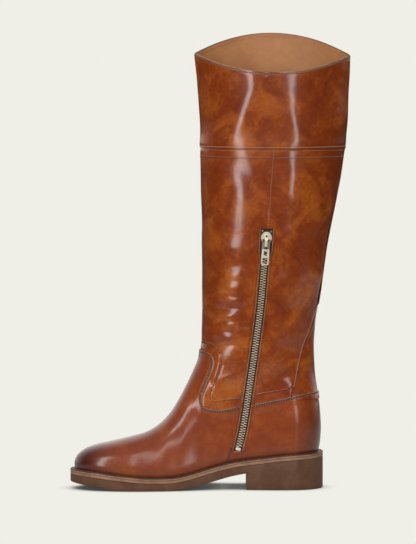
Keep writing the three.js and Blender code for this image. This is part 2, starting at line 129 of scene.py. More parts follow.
@dataclass(frozen=True)
class Collar:
    """The top edge: its corners, how far the two sides dip and rise, and where that begins."""

    front: float = 447.5
    back: float = 446.0
    inner_dip: float = 17.5
    outer_rise: float = 21.0
    begins: float = 300.0


LAST = Last()
COLLAR = Collar()
LIFT = 0.3


class OutlineRow(NamedTuple):
    """A point of the side view's outline."""

    z: float
    x: float


class FootRow(NamedTuple):
    """A section of the foot at a fraction of its length from the toe."""

    along: float
    half: float
    centre: float
    ridge: float
    wall: float
    crown: float


class LegRow(NamedTuple):
    """A section of the leg at a height."""

    z: float
    half: float
    centre: float
    point: float


class SoleRow(NamedTuple):
    """Heights of the welt's top and of the tread at an x."""

    x: float
    top: float
    tread: float


class Level(NamedTuple):
    """Heights of one row's front and back ends, and its share of the feather line's sag."""

    front: float
    back: float
    sag: float


class ZipRow(NamedTuple):
    """The zip's middle and half the width of its opening at a height."""

    z: float
    x: float
    half: float


FRONT = tuple(OutlineRow(*row) for row in (
    (20.4, -217.0), (25.5, -217.3), (32.5, -215.1), (37.1, -210.9), (41.2, -204.6),
    (44.7, -194.4), (48.2, -179.0), (52.8, -159.4), (57.3, -143.6), (64.5, -131.0),
    (74.5, -120.6), (89.9, -110.3), (104.3, -102.6), (120.9, -94.8), (136.4, -88.9),
    (151.8, -86.3), (187.0, -85.5), (255.0, -85.5), (320.0, -86.6), (379.0, -87.9),
    (420.0, -90.8), (447.5, -93.2), (475.0, -95.6),
))
BACK = tuple(OutlineRow(*row) for row in (
    (37.8, 34.9), (48.7, 36.6), (62.0, 37.4), (79.6, 36.4), (100.3, 33.9), (120.9, 31.3),
    (146.7, 30.4), (172.5, 32.0), (193.1, 35.2), (213.7, 38.5), (255.0, 44.2), (296.2, 52.5),
    (337.5, 59.8), (378.8, 64.4), (420.0, 66.1), (446.0, 67.0), (475.0, 67.8),
))
FOOT = tuple(FootRow(*row) for row in (
    (0.000, 0.887, -8.0, -9.0, 2.3, 2.3), (0.147, 0.916, -4.0, -8.0, 2.2, 2.3),
    (0.266, 0.990, -0.8, -7.0, 2.0, 2.1), (0.353, 1.000, 1.4, -5.0, 1.9, 1.9),
    (0.433, 0.940, 3.2, -3.0, 1.8, 1.8), (0.512, 0.837, 4.4, -1.0, 1.8, 1.7),
    (0.587, 0.753, 4.6, 0.0, 1.8, 1.7), (0.663, 0.710, 3.5, 0.0, 1.8, 1.7),
    (0.738, 0.700, 2.2, 0.0, 1.8, 1.7), (0.821, 0.707, 0.8, 0.0, 1.8, 1.7),
    (0.901, 0.703, 0.2, 0.0, 1.8, 1.7), (1.000, 0.703, 0.0, 0.0, 1.8, 1.7),
))
LEG = tuple(LegRow(*row) for row in (
    (60, 32.5, 1.2, 0.50), (110, 33.6, 0.8, 0.50), (145, 34.6, 0.3, 0.50),
    (175, 36.8, 0.0, 0.50), (205, 39.8, 0.0, 0.51), (235, 42.6, 0.0, 0.52),
    (270, 45.2, 0.0, 0.54), (310, 46.8, 0.0, 0.58), (350, 47.0, 0.0, 0.63),
    (400, 46.6, 0.0, 0.72), (447, 46.0, 0.0, 0.82), (475, 46.0, 0.0, 0.84),
))
SOLE = tuple(SoleRow(*row) for row in (
    (-222, 20.6, 7.4), (-205, 19.6, 5.0), (-190, 18.0, 3.0), (-175, 16.3, 1.0),
    (-160, 14.7, 0.0), (-140, 13.2, 0.0), (-118, 13.2, 0.0), (-98, 16.5, 2.5),
    (-79, 21.9, 7.2), (-50, 29.0, 15.0), (-31, 31.7, 18.2), (7, 36.0, 22.4), (40, 38.0, 24.6),
))
LEVELS = tuple(Level(*row) for row in (
    (20.4, 37.8, 1.0), (26.0, 42.0, 0.94), (33.0, 46.5, 0.86), (39.0, 51.0, 0.76),
    (43.5, 55.5, 0.65), (47.5, 60.0, 0.53), (51.6, 65.0, 0.41), (56.2, 71.0, 0.28),
    (63.0, 78.0, 0.14), (74.0, 87.0, 0.0), (91.0, 99.0, 0.0), (112.0, 114.0, 0.0),
    (134.0, 135.0, 0.0), (447.5, 446.0, 0.0),
))
ZIP = tuple(ZipRow(*row) for row in (
    (39.5, -48.9, 4.4), (63, -43.5, 4.4), (104, -37.1, 4.4), (145, -31.2, 4.4),
    (186, -26.0, 4.4), (238, -21.3, 4.4), (248, -20.5, 5.9), (269.5, -19.0, 6.1),
))
ZIP_BOTTOM = ZIP[0].z
ZIP_TOP = ZIP[-1].z


# ---------------- curves


class Curve:
    """A smooth curve through table rows that never swings past them, straight beyond its ends."""

    def __init__(self, known: Sequence[float], values: Sequence[float]) -> None:
        """Works out the tangents.

        Args:
            known: Rising places of the rows.
            values: The rows' values at those places.
        """
        self.known = np.asarray(known, float)
        self.values = np.asarray(values, float)
        self.steps = np.diff(self.known)
        slope = np.diff(self.values) / self.steps
        inner = np.zeros(len(slope) - 1)
        same = slope[:-1] * slope[1:] > 0
        before = 2 * self.steps[1:] + self.steps[:-1]
        after = self.steps[1:] + 2 * self.steps[:-1]
        inner[same] = ((before + after)[same]
                       / (before[same] / slope[:-1][same] + after[same] / slope[1:][same]))
        self.tangents = np.concatenate(([slope[0]], inner, [slope[-1]]))

    @classmethod
    def of(cls, rows: Sequence[NamedTuple], known: str, value: str) -> "Curve":
        """The curve through two named columns of a table."""
        return cls([getattr(row, known) for row in rows], [getattr(row, value) for row in rows])

    def __call__(self, place: Any) -> Array:
        """Values of the curve.

        Args:
            place: A number or an array of them.

        Returns:
            The curve's values there.
        """
        place = np.asarray(place, float)
        i = np.clip(np.searchsorted(self.known, place) - 1, 0, len(self.steps) - 1)
        step = self.steps[i]
        s = (place - self.known[i]) / step
        rise = s * s * (3 - 2 * s)
        lead = s * (1 - s) ** 2 * step * self.tangents[i]
        trail = s * s * (s - 1) * step * self.tangents[i + 1]
        inside = self.values[i] * (1 - rise) + self.values[i + 1] * rise + lead + trail
        below = self.values[0] + self.tangents[0] * (place - self.known[0])
        above = self.values[-1] + self.tangents[-1] * (place - self.known[-1])
        return np.where(place < self.known[0], below, np.where(place > self.known[-1], above, inside))


def mix(a: Any, b: Any, t: Any) -> Any:
    """A value part of the way from a to b."""
    return a + (b - a) * t


def ease(t: Any) -> Any:
    """A smooth step of a value held between 0 and 1."""
    t = np.clip(t, 0.0, 1.0)
    return t * t * (3 - 2 * t)


def root(value: Any, power: Any) -> Any:
    """A root of a value that isn't let below zero."""
    return np.maximum(value, 0.0) ** (1 / power)


def bell(distance: Any, width: float) -> Any:
    """A soft hump of height 1 that fades over a width."""
    return np.exp(-((distance / width) ** 2))


feather = Curve.of(SOLE, "x", "top")
tread = Curve.of(SOLE, "x", "tread")
zip_middle = Curve.of(ZIP, "z", "x")
zip_half = Curve.of(ZIP, "z", "half")


# ---------------- the boot's form


class BootForm:
    """The boot's outer surface, or one a set distance inside it."""

    along = {name: Curve.of(FOOT, "along", name) for name in FootRow._fields[1:]}
    leg = {name: Curve.of(LEG, "z", name) for name in LegRow._fields[1:]}

    def __init__(self, inset: float = 0.0) -> None:
        """Moves the outlines inwards.

        Args:
            inset: How far inside the outer surface this one lies.
        """
        self.inset = inset
        self.front = self._outline(FRONT, inset)
        self.back = self._outline(BACK, -inset)
        self.toe = LAST.toe + inset
        self.heel = LAST.heel - inset
        heights = np.linspace(LAST.toe_fullest - inset, LAST.ridge_top, 600)
        self.ridge = (np.maximum.accumulate(self.front(heights)), heights)

    @staticmethod
    def _outline(rows: Sequence[OutlineRow], distance: float) -> Curve:
        """An outline moved across itself, along +X where distance is positive."""
        x = Curve.of(rows, "z", "x")
        places = np.array([row.z for row in rows], float)
        lean = x(places + 0.5) - x(places - 0.5)
        length = np.hypot(1, lean)
        return Curve(places - lean * distance / length, x(places) + distance / length)

    def foot(self, name: str, x: Any) -> Array:
        """A column of the foot's table at x."""
        return self.along[name](np.clip((x - LAST.toe) / LAST.length, 0, 1))

    def ridge_height(self, x: Any) -> Array:
        """Height of the vamp's top line at x."""
        known, heights = self.ridge
        steep = 1 / (self.front(LAST.ridge_top) - self.front(LAST.ridge_top - 1))
        beyond = LAST.ridge_top + steep * (x - known[-1])
        return np.where(x > known[-1], beyond, np.interp(x, known, heights))

    def capped(self, x: Any, toe: Any, heel: Any) -> Array:
        """How far the plan is open at x, from 0 at the toe or heel to 1 between the caps."""
        toe_start = LAST.toe + LAST.toe_cap
        heel_start = LAST.heel - LAST.heel_cap
        to_toe = np.clip((toe_start - x) / (toe_start - toe), 0, 1)
        to_heel = np.clip((x - heel_start) / (heel - heel_start), 0, 1)
        return root(1 - to_toe ** LAST.toe_round, 2) * root(1 - to_heel ** LAST.heel_round, 2)

    def plan_half(self, x: Any) -> Array:
        """Half width of the plan at the feather line."""
        half = self.foot("half", x) * LAST.ball_width / 2 - self.inset
        return half * self.capped(x, self.toe, self.heel)

    def rise(self, x: Any, z: Any) -> Array:
        """Height as a share of the way from the feather line to the vamp's top line."""
        low = feather(x)
        return np.clip((z - low) / (self.ridge_height(x) - low), 0, 1)

    def foot_half(self, x: Any, z: Any) -> Array:
        """Half width of the foot at x and z."""
        above = np.clip((z - feather(x)) / LAST.bulge_height, 0, 1)
        swell = LAST.bulge * (1 - (1 - above) ** 2)
        half = self.foot("half", x) * LAST.ball_width / 2 - self.inset + swell
        toe = self.front(np.minimum(z, LAST.toe_fullest))
        crown = root(1 - self.rise(x, z) ** self.foot("wall", x), self.foot("crown", x))
        return half * self.capped(x, toe, self.back(z)) * crown

    def leg_half(self, x: Any, z: Any) -> Array:
        """Half width of the leg at x and z."""
        front = self.front(z)
        back = self.back(z)
        across = np.clip((2 * x - front - back) / (back - front), -1, 1)
        return (self.leg["half"](z) - self.inset) * (1 - across * across) ** self.leg["point"](z)

    def y(self, x: Any, z: Any, side: Any) -> Array:
        """Y of the surface at x and z on a side."""
        up = ease((z - LAST.ankle_from) / (LAST.ankle_to - LAST.ankle_from))
        half = mix(self.foot_half(x, z), self.leg_half(x, z), up)
        centre = mix(self.foot("centre", x), self.foot("ridge", x), self.rise(x, z) ** 2)
        return mix(centre, self.leg["centre"](z), up) + side * half

    def point(self, x: Any, z: Any, side: Any) -> Array:
        """Points of the surface, one row each."""
        x, z = np.broadcast_arrays(np.asarray(x, float), np.asarray(z, float))
        return np.column_stack((x.ravel(), self.y(x, z, side).ravel(), z.ravel() + LIFT))


class Wrap:
    """Rows of a form's surface, each a ring that starts at the front, runs back along the inner
    side and forward along the outer side."""

    def __init__(self, form: BootForm, levels: Sequence[Level] = LEVELS) -> None:
        """Takes the form and the table of row heights."""
        self.form = form
        self.back_of = Curve.of(levels, "front", "back")
        self.sag_of = Curve.of(levels, "front", "sag")

    def place(self, turn: Array, height: Array) -> Array:
        """Points of the surface.

        Args:
            turn: How far round the ring, from 0 to 1.
            height: Heights of the rows' front ends.

        Returns:
            The points, one row each, in millimetres.
        """
        form = self.form
        s = (1 - np.cos(2 * np.pi * turn)) / 2
        side = np.where(turn <= 0.5, Side.INNER.value, Side.OUTER.value)
        back = self.back_of(height)
        x = mix(form.front(height), form.back(back), s)
        sag = feather(mix(form.toe, form.heel, s)) - mix(feather(form.toe), feather(form.heel), s)
        dip = np.where(side < 0, -COLLAR.inner_dip, COLLAR.outer_rise) * 4 * s * (1 - s)
        edge = np.clip((height - COLLAR.begins) / (COLLAR.front - COLLAR.begins), 0, 1) ** 1.4
        z = mix(height, back, s) + self.sag_of(height) * sag + edge * dip
        y = form.y(x, z, side)
        middle = (s < 1e-9) | (s > 1 - 1e-9)
        y = np.where(middle, (form.y(x, z, 1.0) + form.y(x, z, -1.0)) / 2, y)
        return np.column_stack((x, y, z + LIFT))


OUTER_FORM = BootForm()


# ---------------- lines on the leather


class Line:
    """A smooth line on the side of the boot, through a few points of the side view."""

    def __init__(self, points: Sequence[tuple[float, float]], count: int = 160) -> None:
        """Runs a curve through the points.

        Args:
            points: The x and z of each point, in order.
            count: How many short steps stand for the curve.
        """
        rows = np.array(points, float)
        chord = np.concatenate(([0], np.cumsum(np.hypot(*np.diff(rows, axis=0).T))))
        t = np.linspace(0, chord[-1], count)
        self.points = np.column_stack((Curve(chord, rows[:, 0])(t), Curve(chord, rows[:, 1])(t)))

    def distance(self, x: Array, z: Array) -> Array:
        """Distance of each place to the line, in the side view."""
        best = np.full(len(x), np.inf)
        place = np.column_stack((x, z))
        for start, end in zip(self.points[:-1], self.points[1:]):
            along = end - start
            share = np.clip((place - start) @ along / (along @ along), 0, 1)
            best = np.minimum(best, np.hypot(*(place - start - share[:, None] * along).T))
        return best

    def above(self, x: Array, z: Array) -> Array:
        """Distance to the line, positive above it and negative below it."""
        corners = np.vstack((self.points, [[400, self.points[-1, 1]], [400, 900], [-400, 900],
                                           [-400, self.points[0, 1]]]))
        inside = np.zeros(len(x), bool)
        for (x0, z0), (x1, z1) in zip(corners, np.roll(corners, -1, axis=0)):
            if z0 == z1:
                continue
            crosses = ((z0 > z) != (z1 > z)) & (x < (x1 - x0) * (z - z0) / (z1 - z0) + x0)
            inside ^= crosses
        return np.where(inside, 1.0, -1.0) * self.distance(x, z)


FOOT_SEAM = Line((
    (-90.0, 143.2), (-86.6, 142), (-82.5, 140.7), (-77.4, 138.4), (-73.8, 134.1), (-73.2, 129.1),
    (-75.3, 121.8), (-79.4, 112.5), (-83.6, 102.2), (-86.1, 93), (-85.6, 87.9), (-82.5, 84),
    (-76.3, 82.1), (-69.1, 81.4), (-58.8, 82.7), (-46.4, 85.8), (-33, 87.2), (-23.7, 88.9),
    (-5.2, 92.9), (15.5, 96.8), (25.8, 98.6), (36, 100),
))
ANKLE_SEAM = Line((
    (-89, 150.6), (-86.5, 150), (-77.4, 149), (-70.1, 143.3), (-66, 138.3), (-65, 130.2),
    (-68.1, 118.9), (-74.3, 105.4), (-77.4, 95.2), (-73.2, 89.8), (-65, 91.4), (-54.7, 92.5),
    (-45.4, 93.6), (-29.9, 97.2), (-17.5, 99.8), (-4.1, 101.7), (9.3, 105.2), (20.6, 106.5),
    (36, 106.6),
))
ANKLE_FOLD = Line(((-68.5, 136), (-70, 126), (-73, 113), (-72, 103), (-66, 94)), 40)
STAY_EDGE = Line((
    (8.0, 92), (7.2, 98), (8.3, 103.2), (10.3, 113.3), (12.4, 123.4), (14.4, 133.7),
    (17.5, 146.1), (20.6, 154.2), (25.3, 164.1), (28.9, 176), (33.4, 190),
), 60)
SIDE_SEAM = Line(((-18.9, 269.5), (-16.6, 305), (-13.6, 351)), 30)
COUNTER_SEAM = Line(((-55.2, 44), (-56.4, 38), (-60.2, 24)), 20)


@dataclass(frozen=True)
class Fold:
    """A soft fold of the leather: its middle, its size along and across, turn and height."""

    x: float
    z: float
    length: float
    width: float
    turn: float
    height: float


FOLDS = (
    Fold(-60, 249, 15, 7.5, -4, 0.7), Fold(-58, 229, 17, 6.0, 6, -0.6),
    Fold(-58, 208, 15, 6.0, 3, 0.9), Fold(-55, 196, 16, 4.0, -8, 0.7),
    Fold(-60, 186, 15, 4.0, 4, -0.8), Fold(-60, 178.6, 13, 3.8, 0, 0.8),
    Fold(-55, 168.3, 15, 3.8, 8, 0.8), Fold(-60, 158, 13, 4.2, -4, 0.9),
    Fold(-62, 148, 13, 3.6, 2, -0.6), Fold(-57, 127, 9, 5.5, 0, -0.7),
    Fold(-56, 116.7, 9, 4.2, 10, 0.8), Fold(-56, 103, 9, 4.0, 6, -0.4),
    Fold(0, 214, 20, 10, 20, 0.5), Fold(8, 186, 18, 8, 14, -0.5),
    Fold(5, 157, 16, 9, 8, 0.6), Fold(-5, 131, 16, 9, -6, 0.5),
    Fold(10, 113, 14, 5, -10, -0.4), Fold(-46, 300, 22, 12, 60, 0.5),
    Fold(-42, 326, 16, 9, -50, -0.5), Fold(-39, 396, 55, 14, 59, 2.1),
    Fold(-44, 368, 14, 10, 10, -0.5), Fold(-38, 420, 12, 9, -30, 0.4),
    Fold(16, 366, 20, 10, -60, 0.6), Fold(6, 320, 24, 10, -75, 0.45),
    Fold(-128, 46, 16, 7, 60, 0.25), Fold(-92, 66, 20, 8, 50, 0.35),
)


class Relief:
    """How far the leather stands out from the form."""

    tuck_depth = 1.25
    edge_height = 0.8

    def __init__(self, points: Array) -> None:
        """Takes the points of a panel.

        Args:
            points: Points in millimetres, one row each.
        """
        self.x = points[:, 0]
        self.z = points[:, 2] - LIFT
        self.inner = points[:, 1] < 0
        self.from_zip = np.abs(self.x - zip_middle(self.z)) - zip_half(self.z)

    def folds(self) -> Array:
        """The listed folds, on both sides of the leg."""
        total = np.zeros(len(self.x))
        for fold in FOLDS:
            turn = math.radians(fold.turn)
            dx = self.x - fold.x
            dz = self.z - fold.z
            along = dx * math.cos(turn) + dz * math.sin(turn)
            across = dz * math.cos(turn) - dx * math.sin(turn)
            across = across + 1.2 * np.sin(along / 7.0 + fold.z)
            share = np.where(self.inner, 1.0, 0.7)
            total += share * fold.height * bell(along, fold.length) * bell(across, fold.width)
        return total

    def waves(self) -> Array:
        """The broad unevenness of leather that was pulled over a last by hand."""
        shift = np.where(self.inner, 0.0, 2.1)
        shaft = ease((self.z - 90) / 60)
        broad = np.sin(self.x / 19 + 1.3 * np.sin(self.z / 34 + shift)) * np.sin(self.z / 37 + shift)
        middle = np.sin(self.x / 9.5 + 1.7 * np.sin(self.z / 17)) * np.sin(self.z / 13.3 + self.x / 31)
        fine = np.sin(self.x / 4.1 + 2.3 * np.sin(self.z / 7.7)) * np.sin(self.z / 5.9 - self.x / 8.3)
        return shaft * (0.42 * broad + 0.20 * middle) + mix(0.012, 0.022, shaft) * fine

    def puckers(self) -> Array:
        """Short level puckers where the zip is sewn in."""
        beside = np.where(self.inner, bell(self.from_zip - 6, 8), 0)
        along = ease((self.z - 80) / 40) * ease((272 - self.z) / 40)
        swing = np.sin(self.z / 1.35 + 1.6 * np.sin(self.z / 5.3) + self.x / 9)
        return 0.04 * beside * along * swing

    def zip_edge(self) -> Array:
        """The leather rolls in at the zip's opening and is pressed down by its stitching."""
        level = np.maximum(ZIP_BOTTOM - self.z, self.z - ZIP_TOP)
        out = np.maximum(self.from_zip, level)
        roll = -0.9 * np.clip(1 - out / 1.8, 0, 1) ** 2
        pressed = -0.30 * bell(out - 2.3, 0.8)
        return np.where(self.inner, roll + pressed, 0)

    def seams(self) -> Array:
        """Troughs along the stitched seams of the leg."""
        ankle = ANKLE_SEAM.distance(self.x, self.z)
        fold = ANKLE_FOLD.distance(self.x, self.z)
        side = SIDE_SEAM.distance(self.x, self.z)
        side = np.where(self.inner | (self.z > ZIP_TOP), side, 99)
        return (-0.32 * bell(ankle, 1.0) + 0.75 * bell(fold, 2.6) - 0.45 * bell(side, 0.9)
                + 0.15 * bell(side - 2.2, 1.4))

    def tucked(self, under: Array) -> Array:
        """How far a panel dives beneath another.

        Args:
            under: Distance past the other panel's edge, negative where it shows.

        Returns:
            Offsets from 0 down to the depth of the tuck.
        """
        return -0.45 * ease((under + 1.6) / 1.6) - (self.tuck_depth - 0.45) * ease(under / 3.0)

    def proud(self, within: Array, reach: float, height: float = edge_height) -> Array:
        """How far an overlay stands up at its own edge.

        Args:
            within: Distance in from the edge.
            reach: How far in it still stands proud.
            height: How proud the edge stands.

        Returns:
            Offsets that fade to 0, with the very edge pressed round.
        """
        rounded = -0.4 * np.clip(1 - within / 0.9, 0, 1) ** 2
        pressed = -0.28 * bell(within - 2.3, 0.85)
        return height * (1 - ease(within / reach)) + rounded + pressed


# ---------------- mesh helpers


def only(piece: bpy.types.Object) -> None:
    """Makes a piece the only selected and the active object."""
    for other in bpy.context.selected_objects:
        other.select_set(False)
    piece.select_set(True)
    bpy.context.view_layer.objects.active = piece


def coordinates(piece: bpy.types.Object) -> Array:
    """A piece's vertices in millimetres, one row each."""
    flat = np.empty(len(piece.data.vertices) * 3)
    piece.data.vertices.foreach_get("co", flat)
    return flat.reshape(-1, 3) / MM


def move_to(piece: bpy.types.Object, points: Array) -> None:
    """Puts a piece's vertices at points in millimetres."""
    piece.data.vertices.foreach_set("co", (np.asarray(points, float) * MM).ravel())
    piece.data.update()


def normals(piece: bpy.types.Object) -> Array:
    """A piece's vertex normals, one row each."""
    flat = np.empty(len(piece.data.vertices) * 3)
    piece.data.vertex_normals.foreach_get("vector", flat)
    return flat.reshape(-1, 3)


@contextmanager
def editing(piece: bpy.types.Object) -> Iterator[None]:
    """Edit mode on one piece, with all of it selected."""
    only(piece)
    bpy.ops.object.mode_set(mode="EDIT")
    bpy.ops.mesh.select_all(action="SELECT")
    yield
    bpy.ops.object.mode_set(mode="OBJECT")


def modify(piece: bpy.types.Object, kind: str, **settings: Any) -> None:
    """Adds a modifier with these settings and applies it."""
    only(piece)
    modifier = piece.modifiers.new(kind.title(), kind)
    for name, value in settings.items():
        setattr(modifier, name, value)
    bpy.ops.object.modifier_apply(modifier=modifier.name)


def face_outwards(piece: bpy.types.Object, out: Array | None = None) -> None:
    """Merges doubled vertices and turns a piece's faces out.

    Args:
        piece: The piece.
        out: The way an open piece should face, or None for away from its own middle.
    """
    with editing(piece):
        bpy.ops.mesh.remove_doubles(threshold=0.02 * MM)
        bpy.ops.mesh.normals_make_consistent(inside=False)
    if out is None:
        away = coordinates(piece)
        out = away - away.mean(axis=0)
    if np.sum(out * normals(piece)) < 0:
        with editing(piece):
            bpy.ops.mesh.flip_normals()


def rounded(piece: bpy.types.Object, width: float, segments: int = 3) -> None:
    """Rounds a piece's sharp edges by a width in millimetres."""
    modify(piece, "BEVEL", width=width * MM, segments=segments, limit_method="ANGLE",
           angle_limit=math.radians(40))


def smooth(piece: bpy.types.Object, degrees: float = 40) -> None:
    """Shades a piece smooth, but for edges sharper than an angle."""
    only(piece)
    bpy.ops.object.shade_smooth_by_angle(angle=math.radians(degrees))


def mapped_grid(name: str, across: int, along: int, place: Callable[[Array, Array], Array],
                out: Array | None = None) -> bpy.types.Object:
    """A grid whose vertices are moved onto a surface.

    Args:
        name: Name of the new piece.
        across: Faces along the grid's first direction.
        along: Faces along the second.
        place: Gives points in millimetres for shares of both directions, from 0 to 1.
        out: The way an open piece should face, or None for away from its own middle.

    Returns:
        The new piece, with doubled vertices merged and its faces outwards.
    """
    if bpy.context.object:
        only(bpy.context.object)
    bpy.ops.mesh.primitive_grid_add(x_subdivisions=across, y_subdivisions=along, size=2)
    piece = bpy.context.active_object
    piece.name = piece.data.name = name
    flat = coordinates(piece) * MM
    move_to(piece, place((flat[:, 0] + 1) / 2, (flat[:, 1] + 1) / 2))
    face_outwards(piece, out)
    return piece


def joined(pieces: Sequence[bpy.types.Object]) -> bpy.types.Object:
    """Several pieces made into the first one."""
    only(pieces[0])
    for piece in pieces[1:]:
        piece.select_set(True)
    if len(pieces) > 1:
        bpy.ops.object.join()
    return pieces[0]


def trim(piece: bpy.types.Object, beyond: Field) -> None:
    """Cuts a panel along a line and drops what lies beyond it.

    Args:
        piece: The panel.
        beyond: Gives for points in millimetres how far each lies past the line.
    """
    mesh = bmesh.new()
    mesh.from_mesh(piece.data)
    mesh.verts.ensure_lookup_table()
    value = beyond(coordinates(piece))
    value[np.abs(value) < 0.04] = 0.0
    on_line = [vertex for vertex, v in zip(mesh.verts, value) if v == 0.0]
    crossing = [edge for edge in mesh.edges
                if value[edge.verts[0].index] * value[edge.verts[1].index] < 0]
    for edge in crossing:
        start, end = edge.verts
        share = value[start.index] / (value[start.index] - value[end.index])
        on_line.append(bmesh.utils.edge_split(edge, start, share)[1])
    bmesh.ops.connect_verts(mesh, verts=on_line)
    middles = np.array([face.calc_center_median() for face in mesh.faces]) / MM
    lost = [face for face, v in zip(mesh.faces, beyond(middles)) if v > 0]
    bmesh.ops.delete(mesh, geom=lost, context="FACES")
    mesh.to_mesh(piece.data)
    mesh.free()


def joined_copies(name: str, source: bpy.types.Object, frames: Array) -> bpy.types.Object:
    """Copies of a small shape as one mesh, and drops the shape they were copied from.

    Args:
        name: Name of the new piece.
        source: The shape, in its own frame.
        frames: One 4 by 4 matrix for each copy, in millimetres.

    Returns:
        The new piece.
    """
    points = coordinates(source)
    points = np.column_stack((points, np.ones(len(points))))
    placed = np.einsum("nij,pj->npi", frames, points)[:, :, :3].reshape(-1, 3)
    faces = [tuple(polygon.vertices) for polygon in source.data.polygons]
    count = len(source.data.vertices)
    mesh = bpy.data.meshes.new(name)
    mesh.from_pydata((placed * MM).tolist(), [],
                     [tuple(v + i * count for v in face) for i in range(len(frames)) for face in faces])
    piece = bpy.data.objects.new(name, mesh)
    bpy.context.scene.collection.objects.link(piece)
    bpy.data.objects.remove(source)
    smooth(piece, 50)
    return piece


def dress(piece: bpy.types.Object, slot: Slot, *materials: bpy.types.Material,
          body: str = "boot", stands_for: Sequence[str] = ()) -> None:
    """Gives a piece its materials, its body and the frame nodes it stands for."""
    marks = [polygon.material_index for polygon in piece.data.polygons]
    piece.data.materials.clear()
    for material in materials:
        piece.data.materials.append(material)
    piece.data.polygons.foreach_set("material_index", marks)
    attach(piece, body)
    if stands_for:
        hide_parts(*stands_for)
    triangles = sum(len(polygon.vertices) - 2 for polygon in piece.data.polygons)
    log.info("%s: %d triangles", piece.name, triangles)


# ---------------- materials


class Graph:
    """Short forms for adding and joining the nodes of one tree."""

    def __init__(self, tree: bpy.types.NodeTree) -> None:
        """Takes the tree to add to."""
        self.tree = tree

    def add(self, kind: str, inputs: dict[Any, Any] | None = None, **settings: Any) -> bpy.types.Node:
        """Adds a node.

        Args:
            kind: The node's type.
            inputs: Values, or sockets to link, for its inputs by name or number.
            settings: Values of the node's own properties.

        Returns:
            The node.
        """
        node = self.tree.nodes.new(kind)
        for name, value in settings.items():
            setattr(node, name, value)
        for name, value in (inputs or {}).items():
            if isinstance(value, bpy.types.NodeSocket):
                self.tree.links.new(value, node.inputs[name])
            else:
                node.inputs[name].default_value = value
        return node

    def maths(self, operation: str, *values: Any) -> bpy.types.NodeSocket:
        """The result of a Math node."""
        return self.add("ShaderNodeMath", dict(enumerate(values)), operation=operation).outputs[0]

    def span(self, value: Any, low: float, high: float, to_low: float = 0,
             to_high: float = 1) -> bpy.types.NodeSocket:
        """A value moved from one range to another, and held inside it."""
        inputs = {"Value": value, "From Min": low, "From Max": high, "To Min": to_low, "To Max": to_high}
        return self.add("ShaderNodeMapRange", inputs).outputs[0]

    def stretched(self, vector: Any, scale: tuple[float, float, float]) -> bpy.types.NodeSocket:
        """Places scaled apart along the three axes."""
        return self.add("ShaderNodeMapping", {"Vector": vector, "Scale": scale}).outputs[0]

    def blend(self, share: Any, a: Any, b: Any, how: str = "MIX") -> bpy.types.NodeSocket:
        """Two colours mixed."""
        node = self.add("ShaderNodeMix", {0: share, 6: a, 7: b}, data_type="RGBA", blend_type=how)
        return node.outputs[2]

    def noise(self, vector: Any, scale: Any, detail: float = 3, roughness: float = 0.5,
              distortion: float = 0) -> bpy.types.NodeSocket:
        """A noise texture's value."""
        inputs = {"Vector": vector, "Scale": scale, "Detail": detail, "Roughness": roughness,
                  "Distortion": distortion}
        return self.add("ShaderNodeTexNoise", inputs).outputs[0]


class Effect:
    """A shader node group that more than one material uses."""

    def __init__(self, name: str, inputs: dict[str, Any], outputs: dict[str, str]) -> None:
        """Makes the group and its sockets.

        Args:
            name: Name of the group.
            inputs: Each input's default: a number, a colour of 4 numbers or None for a vector.
            outputs: Each output's socket type.
        """
        self.tree = bpy.data.node_groups.new(name, "ShaderNodeTree")
        for label, value in inputs.items():
            kind = "NodeSocketVector" if value is None else "NodeSocketFloat"
            if isinstance(value, tuple):
                kind = "NodeSocketColor"
            socket = self.tree.interface.new_socket(label, in_out="INPUT", socket_type=kind)
            if value is not None:
                socket.default_value = value
        for label, kind in outputs.items():
            self.tree.interface.new_socket(label, in_out="OUTPUT", socket_type=kind)
        self.graph = Graph(self.tree)
        self.given = self.graph.add("NodeGroupInput").outputs
        self.result = self.graph.add("NodeGroupOutput").inputs

    def give(self, label: str, socket: bpy.types.NodeSocket) -> None:
        """Links a socket to one of the group's outputs."""
        self.tree.links.new(socket, self.result[label])


COLOR = "NodeSocketColor"
VALUE = "NodeSocketFloat"
Tone = tuple[float, float, float, float]


